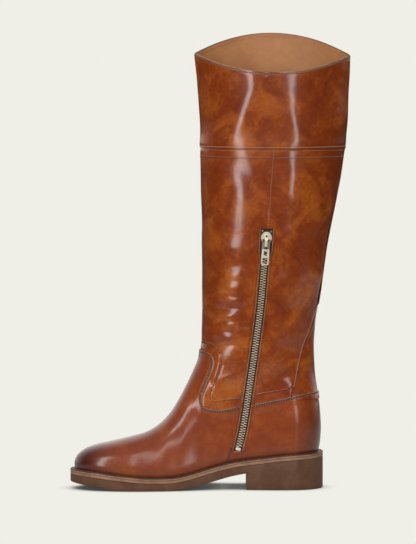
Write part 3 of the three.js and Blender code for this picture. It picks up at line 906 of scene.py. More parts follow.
class Effects:
    """The shader node groups shared by the finishes, built once."""

    def __init__(self) -> None:
        """Builds every group."""
        self.mottle = self._mottle()
        self.grain = self._grain()
        self.weave = self._weave()
        self.scuff = self._scuff()

    @staticmethod
    def _mottle() -> Effect:
        """Cloudy patches from a dark tone to a light one."""
        effect = Effect(
            "Mottle",
            {"Vector": None, "Scale": 30.0, "Dark": (0, 0, 0, 1), "Middle": (0.5, 0.5, 0.5, 1),
             "Light": (1, 1, 1, 1)},
            {"Color": COLOR, "Mask": VALUE},
        )
        graph, given = effect.graph, effect.given
        broad = graph.noise(given["Vector"], given["Scale"], 3, 0.55, 0.8)
        small = graph.noise(given["Vector"], graph.maths("MULTIPLY", given["Scale"], 4.3), 4, 0.6, 1.4)
        mask = graph.maths("ADD", graph.maths("MULTIPLY", broad, 0.68), graph.maths("MULTIPLY", small, 0.32))
        low = graph.blend(graph.span(mask, 0.36, 0.5), given["Dark"], given["Middle"])
        effect.give("Color", graph.blend(graph.span(mask, 0.5, 0.64), low, given["Light"]))
        effect.give("Mask", graph.span(mask, 0.36, 0.64))
        return effect

    @staticmethod
    def _grain() -> Effect:
        """The fine cells and pores of leather or rubber, as a height."""
        effect = Effect("Grain", {"Vector": None, "Scale": 900.0, "Pores": 0.5}, {"Height": VALUE})
        graph, given = effect.graph, effect.given
        cells = graph.add("ShaderNodeTexVoronoi", {"Vector": given["Vector"], "Scale": given["Scale"]},
                          feature="SMOOTH_F1").outputs["Distance"]
        soft = graph.noise(given["Vector"], graph.maths("MULTIPLY", given["Scale"], 0.35), 4, 0.6)
        pores = graph.maths("MULTIPLY", cells, given["Pores"])
        effect.give("Height", graph.maths("ADD", soft, pores))
        return effect

    @staticmethod
    def _weave() -> Effect:
        """Crossed threads, as a height."""
        effect = Effect("Weave", {"Vector": None, "Scale": 900.0}, {"Height": VALUE})
        graph, given = effect.graph, effect.given
        threads = [
            graph.add("ShaderNodeTexWave", {"Vector": given["Vector"], "Scale": given["Scale"],
                                            "Distortion": 0.4, "Detail": 1.0},
                      bands_direction=direction).outputs["Fac"]
            for direction in ("X", "Z")
        ]
        effect.give("Height", graph.maths("MAXIMUM", *threads))
        return effect

    @staticmethod
    def _scuff() -> Effect:
        """Sparse rubbed marks, as a mask."""
        effect = Effect("Scuff", {"Vector": None, "Scale": 60.0, "Amount": 0.3}, {"Mask": VALUE})
        graph, given = effect.graph, effect.given
        streaks = graph.stretched(given["Vector"], (1.0, 1.0, 3.5))
        marks = graph.noise(streaks, given["Scale"], 6, 0.7, 0.6)
        sharp = graph.span(marks, 0.55, 0.75)
        effect.give("Mask", graph.maths("MULTIPLY", sharp, given["Amount"]))
        return effect


class Shader:
    """One material's tree, with its principled shader and its places on the object."""

    def __init__(self, name: str, **plain: Any) -> None:
        """Makes the material.

        Args:
            name: Name of the material.
            plain: Values set on the shader's own sockets, with _ for a space.
        """
        self.material = bpy.data.materials.new(name)
        self.material.use_nodes = True
        self.graph = Graph(self.material.node_tree)
        self.surface = self.material.node_tree.nodes["Principled BSDF"]
        self.place = self.graph.add("ShaderNodeTexCoord").outputs["Object"]
        for label, value in plain.items():
            self.surface.inputs[label.replace("_", " ").title().replace("Ior", "IOR")].default_value = value

    def effect(self, effect: Effect, **inputs: Any) -> bpy.types.NodeSocket:
        """Places a shared group and gives its outputs."""
        node = self.graph.add("ShaderNodeGroup", node_tree=effect.tree)
        for label, value in {"Vector": self.place, **inputs}.items():
            if isinstance(value, bpy.types.NodeSocket):
                self.graph.tree.links.new(value, node.inputs[label])
            else:
                node.inputs[label].default_value = value
        return node.outputs

    def feed(self, label: str, socket: bpy.types.NodeSocket) -> None:
        """Links a socket to the shader."""
        self.graph.tree.links.new(socket, self.surface.inputs[label])

    def bump(self, height: bpy.types.NodeSocket, depth: float) -> None:
        """Roughens the surface by a height map of a depth in millimetres."""
        node = self.graph.add("ShaderNodeBump", {"Height": height, "Strength": 1.0, "Distance": depth * MM})
        self.feed("Normal", node.outputs[0])
        self.feed("Coat Normal", node.outputs[0])


@dataclass(frozen=True)
class GlossLeather:
    """Waxed, glossy upper leather with cloudy tones, darker where the burnish attribute says."""

    name: str = "waxed_tan_leather"
    dark: Tone = (0.165, 0.0235, 0.0040, 1)
    middle: Tone = (0.235, 0.0410, 0.0060, 1)
    light: Tone = (0.375, 0.0930, 0.0110, 1)
    burnt: Tone = (0.046, 0.0080, 0.0048, 1)
    coat_roughness: float = 0.14

    def material(self, effects: Effects) -> bpy.types.Material:
        """Builds the material."""
        shader = Shader(self.name, specular_ior_level=0.15, ior=1.5, coat_weight=1.0,
                        coat_roughness=self.coat_roughness, coat_ior=1.5)
        graph = shader.graph
        mottle = shader.effect(effects.mottle, Scale=26.0, Dark=self.dark, Middle=self.middle,
                               Light=self.light)
        burnish = graph.add("ShaderNodeAttribute", attribute_name="burnish").outputs["Fac"]
        flat = graph.stretched(shader.place, (1.0, 1.0, 2.2))
        veins = graph.noise(flat, 70.0, 5, 0.65, 2.2)
        pale = graph.maths("MULTIPLY", graph.span(veins, 0.58, 0.74), 0.45)
        colour = graph.blend(pale, mottle["Color"], self.light)
        shader.feed("Base Color", graph.blend(burnish, colour, self.burnt))
        rough = graph.noise(shader.place, 60.0, 4, 0.6)
        shader.feed("Roughness", graph.span(rough, 0.3, 0.7, 0.30, 0.45))
        grain = shader.effect(effects.grain, Scale=1400.0, Pores=0.35)["Height"]
        shader.bump(grain, 0.04)
        return shader.material


@dataclass(frozen=True)
class PlainLeather:
    """Matt leather: the lining, the raw cut edges, the welt."""

    name: str
    dark: Tone
    middle: Tone
    light: Tone
    roughness: float = 0.6
    scale: float = 40.0
    grain: float = 0.08
    layers: float = 0.0

    def material(self, effects: Effects) -> bpy.types.Material:
        """Builds the material."""
        shader = Shader(self.name, roughness=self.roughness)
        graph = shader.graph
        mottle = shader.effect(effects.mottle, Scale=self.scale, Dark=self.dark, Middle=self.middle,
                               Light=self.light)
        colour = mottle["Color"]
        height = shader.effect(effects.grain, Scale=1100.0, Pores=0.6)["Height"]
        if self.layers:
            flat = graph.stretched(shader.place, (0.06, 0.06, 1.0))
            lines = graph.noise(flat, self.layers, 4, 0.7)
            colour = graph.blend(graph.span(lines, 0.35, 0.6, 0.55, 0), colour, self.dark)
            height = graph.maths("ADD", height, lines)
        shader.feed("Base Color", colour)
        shader.bump(height, self.grain)
        return shader.material


@dataclass(frozen=True)
class Rubber:
    """Matt brown rubber with a few rubbed marks."""

    name: str
    dark: Tone
    middle: Tone
    light: Tone
    roughness: float = 0.62

    def material(self, effects: Effects) -> bpy.types.Material:
        """Builds the material."""
        shader = Shader(self.name, specular_ior_level=0.3)
        graph = shader.graph
        mottle = shader.effect(effects.mottle, Scale=55.0, Dark=self.dark, Middle=self.middle,
                               Light=self.light)
        scuff = shader.effect(effects.scuff, Scale=70.0, Amount=0.35)["Mask"]
        shader.feed("Base Color", graph.blend(scuff, mottle["Color"], self.light))
        shader.feed("Roughness", graph.maths("ADD", graph.maths("MULTIPLY", scuff, 0.2), self.roughness))
        shader.bump(shader.effect(effects.grain, Scale=700.0, Pores=0.4)["Height"], 0.10)
        return shader.material


@dataclass(frozen=True)
class Brass:
    """Polished zip metal with a fine scratch here and there."""

    name: str
    tone: Tone
    worn: Tone
    roughness: float = 0.30

    def material(self, effects: Effects) -> bpy.types.Material:
        """Builds the material."""
        shader = Shader(self.name, metallic=0.55)
        graph = shader.graph
        scuff = shader.effect(effects.scuff, Scale=260.0, Amount=0.8)["Mask"]
        shader.feed("Base Color", graph.blend(scuff, self.tone, self.worn))
        shader.feed("Roughness", graph.maths("ADD", graph.maths("MULTIPLY", scuff, 0.25), self.roughness))
        shader.bump(graph.noise(shader.place, 1600.0, 3), 0.02)
        return shader.material


@dataclass(frozen=True)
class Cloth:
    """Woven tape or twisted thread."""

    name: str
    dark: Tone
    light: Tone
    scale: float = 1500.0

    def material(self, effects: Effects) -> bpy.types.Material:
        """Builds the material."""
        shader = Shader(self.name, roughness=0.85)
        height = shader.effect(effects.weave, Scale=self.scale)["Height"]
        shader.feed("Base Color", shader.graph.blend(height, self.dark, self.light))
        shader.bump(height, 0.15)
        return shader.material


class Wardrobe:
    """Every material of the boot."""

    twist = 2600.0

    def __init__(self) -> None:
        """Builds the shared groups and the materials."""
        effects = Effects()
        self.leather = GlossLeather().material(effects)
        self.vamp = GlossLeather("waxed_foot_leather", dark=(0.195, 0.0300, 0.0045, 1),
                                 light=(0.300, 0.0650, 0.0090, 1), coat_roughness=0.19).material(effects)
        self.edge = PlainLeather("raw_leather_edge", (0.24, 0.10, 0.050, 1), (0.35, 0.18, 0.100, 1),
                                 (0.45, 0.26, 0.16, 1), 0.7, 120.0).material(effects)
        self.lining = PlainLeather("lining_leather", (0.38, 0.158, 0.056, 1), (0.430, 0.185, 0.068, 1),
                                   (0.48, 0.22, 0.085, 1), 0.55, 22.0, 0.06).material(effects)
        self.insole = PlainLeather("insole_leather", (0.30, 0.15, 0.08, 1), (0.38, 0.20, 0.11, 1),
                                   (0.44, 0.25, 0.14, 1), 0.7, 30.0).material(effects)
        self.welt = PlainLeather("welt_leather", (0.20, 0.095, 0.050, 1), (0.30, 0.155, 0.088, 1),
                                 (0.37, 0.21, 0.13, 1), 0.6, 90.0, 0.12, 900.0).material(effects)
        # Near-black band along the welt's top next to the upper: painted shade of the joint.
        self.lip = PlainLeather("painted_welt_joint_shade", (0.030, 0.012, 0.009, 1), (0.045, 0.018, 0.012, 1),
                                (0.075, 0.032, 0.020, 1), 0.4, 90.0, 0.06).material(effects)
        # Near-black strips laid along the seams and into the slider's hole, recesses and notch: painted
        # shade.
        self.groove = PlainLeather("painted_seam_shade", (0.030, 0.014, 0.014, 1), (0.045, 0.021, 0.019, 1),
                                   (0.070, 0.033, 0.027, 1), 0.42, 90.0, 0.06).material(effects)
        self.outsole = Rubber("outsole_rubber", (0.090, 0.038, 0.019, 1), (0.108, 0.047, 0.024, 1),
                              (0.130, 0.060, 0.033, 1)).material(effects)
        self.heel = Rubber("heel_rubber", (0.088, 0.037, 0.018, 1), (0.105, 0.045, 0.023, 1),
                           (0.126, 0.058, 0.032, 1)).material(effects)
        self.brass = Brass("zip_brass", (0.98, 0.91, 0.70, 1), (1.0, 0.97, 0.84, 1)).material(effects)
        # A darker copy of the brass for the slider's lower body and the top stops: painted shade.
        self.dull = Brass("shaded_brass", (0.40, 0.37, 0.30, 1), (0.55, 0.50, 0.40, 1),
                          0.35).material(effects)
        self.tape = Cloth("zip_tape_weave", (0.034, 0.011, 0.006, 1),
                          (0.110, 0.038, 0.020, 1)).material(effects)
        self.thread = Cloth("tan_thread", (0.45, 0.25, 0.13, 1), (0.72, 0.48, 0.30, 1),
                            self.twist).material(effects)
        self.seam_thread = Cloth("brown_thread", (0.22, 0.105, 0.075, 1), (0.42, 0.24, 0.18, 1),
                                 self.twist).material(effects)
        self.dark_thread = Cloth("dark_thread", (0.022, 0.009, 0.007, 1), (0.075, 0.032, 0.024, 1),
                                 self.twist).material(effects)


# ---------------- the upper


def burnish_of(points: Array) -> Array:
    """How burnt the leather is at points: the toe, the heel and above the welt."""
    x = points[:, 0]
    z = points[:, 2]
    above = z - feather(np.clip(x, LAST.toe, LAST.heel))
    toe = 0.92 * ease((-158 - x) / 56) ** 1.3
    heel = 0.62 * ease((x - 8) / 30) * ease((104 - z) / 50)
    low = 0.55 * np.exp(-np.maximum(above, 0) / 6.0)
    return np.clip(1 - (1 - toe) * (1 - heel) * (1 - low), 0, 1)


@dataclass
class Upper:
    """The leather panels, the lining and what is sewn over them."""

    around: int = 360
    leg_rows: int = 188
    foot_rows: int = 118
    band_rows: int = 62
    leg_from: float = 74.0
    leg_to: float = 356.0
    band_from: float = 350.4
    foot_front: float = 150.0
    foot_back: float = 112.0
    thickness: float = 1.1
    leg_thickness: float = 0.9
    stay_thickness: float = 0.8
    lining_thickness: float = 0.95
    lining_inset: float = 1.45
    strip_depth: float = 0.45

    def build(self, wardrobe: Wardrobe) -> list[bpy.types.Object]:
        """Builds every panel and dresses it, the foot's in a finish of its own.

        Returns:
            The panels that carry stitches.
        """
        panels = [self._leg(), self._foot(), self._band(), self._stay()]
        for panel in panels:
            self._burnish(panel)
            skin = wardrobe.vamp if panel is panels[1] else wardrobe.leather
            dress(panel, Slot.LEATHER, skin, wardrobe.edge, stands_for=("upper",))
        lining = self._lining()
        dress(lining, Slot.LINING, wardrobe.lining, wardrobe.edge, stands_for=("upper",))
        insole = bpy.data.objects["insole"]
        insole.data.materials.clear()
        insole.data.materials.append(wardrobe.insole)
        return [*panels, lining]

    @staticmethod
    def _burnish(panel: bpy.types.Object) -> None:
        """Writes how burnt each place of a panel is."""
        layer = panel.data.attributes.new("burnish", "FLOAT", "POINT")
        layer.data.foreach_set("value", burnish_of(coordinates(panel)).astype(np.float32))

    @staticmethod
    def _displace(panel: bpy.types.Object, offset: Callable[[Relief], Array]) -> None:
        """Moves a panel's vertices out along its normals."""
        points = coordinates(panel)
        move_to(panel, points + normals(panel) * offset(Relief(points))[:, None])

    @staticmethod
    def _zip_slot(points: Array) -> Array:
        """How far points lie inside the zip's opening."""
        z = points[:, 2] - LIFT
        inside = zip_half(z) - np.abs(points[:, 0] - zip_middle(z))
        inside = np.minimum(inside, np.minimum(z - ZIP_BOTTOM, ZIP_TOP - z))
        return np.where(points[:, 1] < 0, inside, -9.0)

    def _finish(self, panel: bpy.types.Object, thickness: float) -> bpy.types.Object:
        """Turns a panel's edges in by its thickness and shades it."""
        modify(panel, "SOLIDIFY", thickness=thickness * MM, offset=-1.0, use_rim_only=True,
               material_offset_rim=1)
        smooth(panel, 38)
        return panel

    def _leg(self) -> bpy.types.Object:
        """The leg, from inside the foot's leather up to inside the collar band."""
        wrap = Wrap(OUTER_FORM)

        def place(u: Array, v: Array) -> Array:
            return wrap.place(u, mix(self.leg_from, self.leg_to, v))

        def offset(relief: Relief) -> Array:
            above_foot = FOOT_SEAM.above(relief.x, relief.z)
            behind_stay = self._behind_stay(relief.x, relief.z)
            shown = np.clip(above_foot / 6, 0, 1)
            under = np.maximum(np.maximum(-above_foot, relief.z - self.band_from), behind_stay)
            rough = relief.folds() + relief.waves() + relief.puckers() + relief.seams()
            return shown * rough + relief.zip_edge() + relief.tucked(under)

        panel = mapped_grid("leg_leather", self.around, self.leg_rows, place)
        self._displace(panel, offset)
        trim(panel, self._zip_slot)
        return self._finish(panel, self.leg_thickness)

    def _foot(self) -> bpy.types.Object:
        """The vamp and counter, from the feather line up to the foot seam."""
        kept = tuple(level for level in LEVELS if level.front <= self.leg_from)
        above = (Level(91, 95.5, 0), Level(112, 101, 0), Level(134, 107, 0),
                 Level(self.foot_front, self.foot_back, 0))
        wrap = Wrap(OUTER_FORM, kept + above)
        heights = np.linspace(LEVELS[0].front, self.foot_front, 900)
        steps = np.hypot(np.diff(OUTER_FORM.front(heights)), np.diff(heights))
        length = np.concatenate(([0], np.cumsum(steps)))

        def place(u: Array, v: Array) -> Array:
            return wrap.place(u, np.interp(v * length[-1], length, heights))

        def offset(relief: Relief) -> Array:
            within = -FOOT_SEAM.above(relief.x, relief.z)
            counter = COUNTER_SEAM.distance(relief.x, relief.z)
            counter = np.where(relief.inner, counter, 99)
            rough = relief.folds() + relief.waves() - 0.35 * bell(counter, 0.8)
            return rough * ease(within / 8) + relief.zip_edge() + relief.proud(within, 12)

        panel = mapped_grid("foot_leather", self.around, self.foot_rows, place)
        self._displace(panel, offset)
        trim(panel, lambda points: FOOT_SEAM.above(points[:, 0], points[:, 2] - LIFT))
        trim(panel, self._zip_slot)
        return self._finish(panel, self.thickness)

    def _band(self) -> bpy.types.Object:
        """The collar band, from its lower edge to the top edge."""
        wrap = Wrap(OUTER_FORM)

        def place(u: Array, v: Array) -> Array:
            s = (1 - np.cos(2 * np.pi * u)) / 2
            lower = self.band_from + 0.6 * (1 - s) - self._dip(self.band_from, s, u)
            return wrap.place(u, mix(lower, COLLAR.front, v))

        def offset(relief: Relief) -> Array:
            within = relief.z - self.band_from
            return relief.folds() + relief.waves() + relief.proud(within, 16, 0.7)

        panel = mapped_grid("collar_band", self.around, self.band_rows, place)
        self._displace(panel, offset)
        self._press_top(panel)
        return self._finish(panel, self.thickness)

    @staticmethod
    def _dip(height: float, s: Array, turn: Array) -> Array:
        """How far a row at a height already follows the top edge."""
        edge = ((height - COLLAR.begins) / (COLLAR.front - COLLAR.begins)) ** 1.4
        return edge * np.where(turn <= 0.5, -COLLAR.inner_dip, COLLAR.outer_rise) * 4 * s * (1 - s)

    def _press_top(self, panel: bpy.types.Object) -> None:
        """Presses the band in along the row of stitches under the top edge."""
        points = coordinates(panel)
        below = self._top_at(points) - points[:, 2]
        depth = -0.28 * bell(below - 2.6, 0.9) - 0.3 * np.clip(1 - below / 0.8, 0, 1) ** 2
        move_to(panel, points + normals(panel) * depth[:, None])

    @staticmethod
    def _top_at(points: Array) -> Array:
        """Height of the top edge above each point."""
        front = OUTER_FORM.front(COLLAR.front)
        back = OUTER_FORM.back(COLLAR.back)
        s = np.clip((points[:, 0] - front) / (back - front), 0, 1)
        dip = np.where(points[:, 1] < 0, -COLLAR.inner_dip, COLLAR.outer_rise) * 4 * s * (1 - s)
        return mix(COLLAR.front, COLLAR.back, s) + dip + LIFT

    def _stay_from(self, z: Array) -> Array:
        """X of the back stay's front edge at a height."""
        line = STAY_EDGE.points
        strip = OUTER_FORM.back(z) - self.strip_depth
        return np.minimum(np.interp(z, line[:, 1], line[:, 0], right=400.0), strip)

    def _behind_stay(self, x: Array, z: Array) -> Array:
        """How far a place lies behind the back stay's front edge."""
        return np.where(z > STAY_EDGE.points[0, 1], 0.92 * (x - self._stay_from(z)), -9.0)

    def _stay(self) -> bpy.types.Object:
        """The back stay: wide at the ankle, then a narrow strip up to the collar band."""
        form = OUTER_FORM

        def place(u: Array, v: Array) -> Array:
            z = mix(STAY_EDGE.points[0, 1] + 0.5, self.leg_to - 4, v)
            front, back = form.front(z), form.back(z)
            half = (back - front) / 2
            edge = np.arccos(np.clip((self._stay_from(z) - back + half) / half, -1, 1))
            turn = (2 * u - 1) * edge
            x = back - half * (1 - np.cos(turn))
            return form.point(x, z, np.where(turn < 0, -1.0, 1.0))

        def offset(relief: Relief) -> Array:
            within = np.maximum(self._behind_stay(relief.x, relief.z), 0)
            under_foot = np.maximum(-FOOT_SEAM.above(relief.x, relief.z), relief.z - self.band_from)
            return 0.35 + relief.proud(within, 6, 0.3) + relief.waves() + relief.tucked(under_foot)

        panel = mapped_grid("back_stay", 44, 170, place)
        self._displace(panel, offset)
        return self._finish(panel, self.stay_thickness)

    def _lining(self) -> bpy.types.Object:
        """The lining, from the insole to just under the top edge."""
        wrap = Wrap(BootForm(self.lining_inset))

        def place(u: Array, v: Array) -> Array:
            return wrap.place(u, mix(LEVELS[0].front + 1, COLLAR.front - 0.3, v ** 0.9))

        def wider_slot(points: Array) -> Array:
            return self._zip_slot(points) + np.where(points[:, 1] < 0, 1.6, 0)

        def offset(relief: Relief) -> Array:
            creases = np.sin(relief.x / 3.1 + 1.2 * np.sin(relief.z / 21)) * np.sin(relief.z / 33)
            return -0.08 + 0.05 * creases

        panel = mapped_grid("lining", 200, 150, place)
        self._displace(panel, offset)
        trim(panel, wider_slot)
        modify(panel, "SOLIDIFY", thickness=self.lining_thickness * MM, offset=-1.0, material_offset_rim=1)
        smooth(panel, 38)
        return panel


# ---------------- the sole


class Step(NamedTuple):
    """A step of an edge's profile: how far inside the sole's edge, and how far down. For the
    outsole and the heel, down is the share of the layer's own height."""

    inset: float
    down: float


@dataclass
class Sole:
    """Welt, midsole, outsole and heel."""

    stations: int = 150
    edge: float = 4.5
    breast: float = -40.2
    welt_inner: float = 9.0
    welt: tuple[Step, ...] = (
        Step(0.7, 0.0), Step(0.25, 0.15), Step(0.05, 0.5), Step(0.0, 1.0), Step(0.0, 2.05),
        Step(0.1, 2.4), Step(0.4, 2.5),
    )
    # Depth of the welt's top band in near-black: painted shade where the welt meets the upper.
    lip_depth: float = 0.95
    midsole: tuple[Step, ...] = (
        Step(0.6, 2.8), Step(0.25, 2.88), Step(0.1, 3.15), Step(0.1, 5.15), Step(0.25, 5.42),
        Step(0.6, 5.5),
    )
    outsole: tuple[Step, ...] = (
        Step(0.8, 0.0), Step(0.25, 0.02), Step(0.1, 0.08), Step(0.1, 0.5), Step(0.15, 0.9),
        Step(0.4, 0.97), Step(1.1, 1.0),
    )
    outsole_top: float = 5.8
    heel: tuple[Step, ...] = (
        Step(0.12, 0.0), Step(0.1, 0.03), Step(0.1, 0.5), Step(0.1, 0.95), Step(0.35, 0.985),
        Step(0.9, 1.0),
    )
    heel_gap: float = 0.02

    def build(self, wardrobe: Wardrobe) -> list[bpy.types.Object]:
        """Builds the four layers and dresses them.

        Returns:
            The layers that carry stitches.
        """
        welt = self._ring("welt_strip", self.welt)
        dress(welt, Slot.WELT, wardrobe.welt, wardrobe.lip, stands_for=("welt",))
        # The welt's top band next to the upper takes the near-black material: painted shade of the joint.
        for polygon in welt.data.polygons:
            centre = np.array(polygon.center) / MM
            if feather(centre[0]) - centre[2] < self.lip_depth:
                polygon.material_index = 1
        midsole = self._plate("midsole_layer", self.midsole, self.form_places(LAST.toe - self.edge))
        dress(midsole, Slot.WELT, wardrobe.welt, stands_for=("midsole",))
        outsole = self._outsole()
        dress(outsole, Slot.RUBBER, wardrobe.outsole, stands_for=("outsole",))
        heel = self._heel()
        dress(heel, Slot.RUBBER, wardrobe.heel, stands_for=("heel",))
        return [welt]

    def form_places(self, start: float) -> Array:
        """Places from a start to the heel, closer together at the ends, as shares of the way."""
        share = (1 - np.cos(np.pi * np.linspace(0, 1, self.stations + 1))) / 2
        return mix(start, LAST.heel + self.edge, share)

    def outline(self, inset: float, places: Array) -> Array:
        """The sole's edge moved in, back along the inner side and forward along the outer.

        Args:
            inset: How far in from the edge.
            places: Stations of the edge itself.

        Returns:
            The x and y of each point.
        """
        form = BootForm(inset - self.edge)
        low, high = places[0], places[-1]
        start = low + inset
        x = mix(start, form.heel, (places - low) / (high - low))
        half = form.plan_half(x)
        centre = form.foot("centre", x)
        inner = np.column_stack((x, centre - half))
        outer = np.column_stack((x, centre + half))
        return np.vstack((inner, outer[::-1]))

    def _rings(self, name: str, rings: Sequence[Array], capped: bool) -> bpy.types.Object:
        """A piece from rings of points, one below the other.

        Args:
            name: Name of the piece.
            rings: Points of each ring, in millimetres.
            capped: Whether the first and last rings are filled, or joined to each other.

        Returns:
            The new piece.
        """
        count = len(rings[0])
        table = np.array(list(rings) + ([] if capped else [rings[0]]))

        def place(u: Array, v: Array) -> Array:
            column = np.rint(u * count).astype(int) % count
            row = np.rint(v * (len(table) - 1)).astype(int)
            return table[row, column]

        piece = mapped_grid(name, count, len(table) - 1, place)
        if capped:
            self._cap(piece, rings[0], rings[-1])
        smooth(piece, 35)
        return piece

    @staticmethod
    def _cap(piece: bpy.types.Object, *rings: Array) -> None:
        """Fills rings across, from each point of the inner side to the one on the outer side."""
        mesh = bmesh.new()
        mesh.from_mesh(piece.data)
        tree = {}
        for vertex in mesh.verts:
            tree[tuple(np.round(np.array(vertex.co) / MM, 2))] = vertex
        for ring in rings:
            found = [tree.get(tuple(np.round(point, 2))) for point in ring]
            half = len(ring) // 2
            for k in range(half - 1):
                corners = [found[k], found[k + 1], found[-2 - k], found[-1 - k]]
                corners = list(dict.fromkeys(corner for corner in corners if corner))
                if len(corners) > 2 and not mesh.faces.get(corners):
                    mesh.faces.new(corners)
        bmesh.ops.recalc_face_normals(mesh, faces=mesh.faces)
        mesh.to_mesh(piece.data)
        mesh.free()

    def _level(self, plan: Array, down: Any) -> Array:
        """A ring at a depth below the feather line."""
        return np.column_stack((plan, feather(plan[:, 0]) - down))

    def _ring(self, name: str, profile: Sequence[Step]) -> bpy.types.Object:
        """A strip round the sole's edge, open in the middle."""
        places = self.form_places(LAST.toe - self.edge)
        inner = [Step(self.welt_inner, profile[end].down) for end in (0, -1)]
        steps = [inner[0], *profile, inner[1]]
        rings = [self._level(self.outline(step.inset, places), step.down) for step in steps]
        return self._rings(name, rings, False)

    def _plate(self, name: str, profile: Sequence[Step], places: Array) -> bpy.types.Object:
        """A full layer of the sole."""
        rings = [self._level(self.outline(step.inset, places), step.down) for step in profile]
        return self._rings(name, rings, True)

    def _outsole(self) -> bpy.types.Object:
        """The outsole, with its own thickness along its length."""
        places = self.form_places(LAST.toe - self.edge)
        rings = []
        for inset, share in self.outsole:
            plan = self.outline(inset, places)
            if share > 0.5:
                square = self.outline(0.1, places)
                plan = np.where(square[:, :1] > self.breast, square, plan)
            top = feather(plan[:, 0]) - self.outsole_top
            rings.append(np.column_stack((plan, mix(top, tread(plan[:, 0]), share))))
        return self._rings("outsole_layer", rings, True)

    def _heel(self) -> bpy.types.Object:
        """The heel block, with a straight breast."""
        places = self.form_places(self.breast)
        rings = []
        for inset, share in self.heel:
            plan = self.outline(inset, places)
            rings.append(np.column_stack((plan, (tread(plan[:, 0]) - self.heel_gap) * (1 - share))))
        return self._rings("heel_block", rings, True)


# ---------------- the zip


def unit(vector: Array) -> Array:
    """A vector made one long."""
    return vector / np.linalg.norm(vector)


def zip_frame(z: float, sink: float = 0.0) -> Array:
    """The frame of a small part on the zip: u across, v up the zip, w out from the leather.

    Args:
        z: Height of the frame's origin.
        sink: How far inside the leather's surface it lies.

    Returns:
        A 4 by 4 matrix in millimetres.
    """
    def at(x: float, height: float) -> Array:
        return OUTER_FORM.point(x, height, Side.INNER.value)[0] - np.array([0, 0, LIFT])

    x = float(zip_middle(z))
    reach = 2.0
    lean_x = (at(x + reach, z) - at(x - reach, z))[1] / (2 * reach)
    lean_z = (at(x, z + reach) - at(x, z - reach))[1] / (2 * reach)
    w = unit(-np.array([-lean_x, 1.0, -lean_z]))
    up = at(float(zip_middle(z + 4)), z + 4) - at(float(zip_middle(z - 4)), z - 4)
    u = unit(np.cross(up, w))
    frame = np.identity(4)
    frame[:3, 0] = u
    frame[:3, 1] = np.cross(w, u)
    frame[:3, 2] = w
    frame[:3, 3] = at(x, z) - w * sink
    return frame


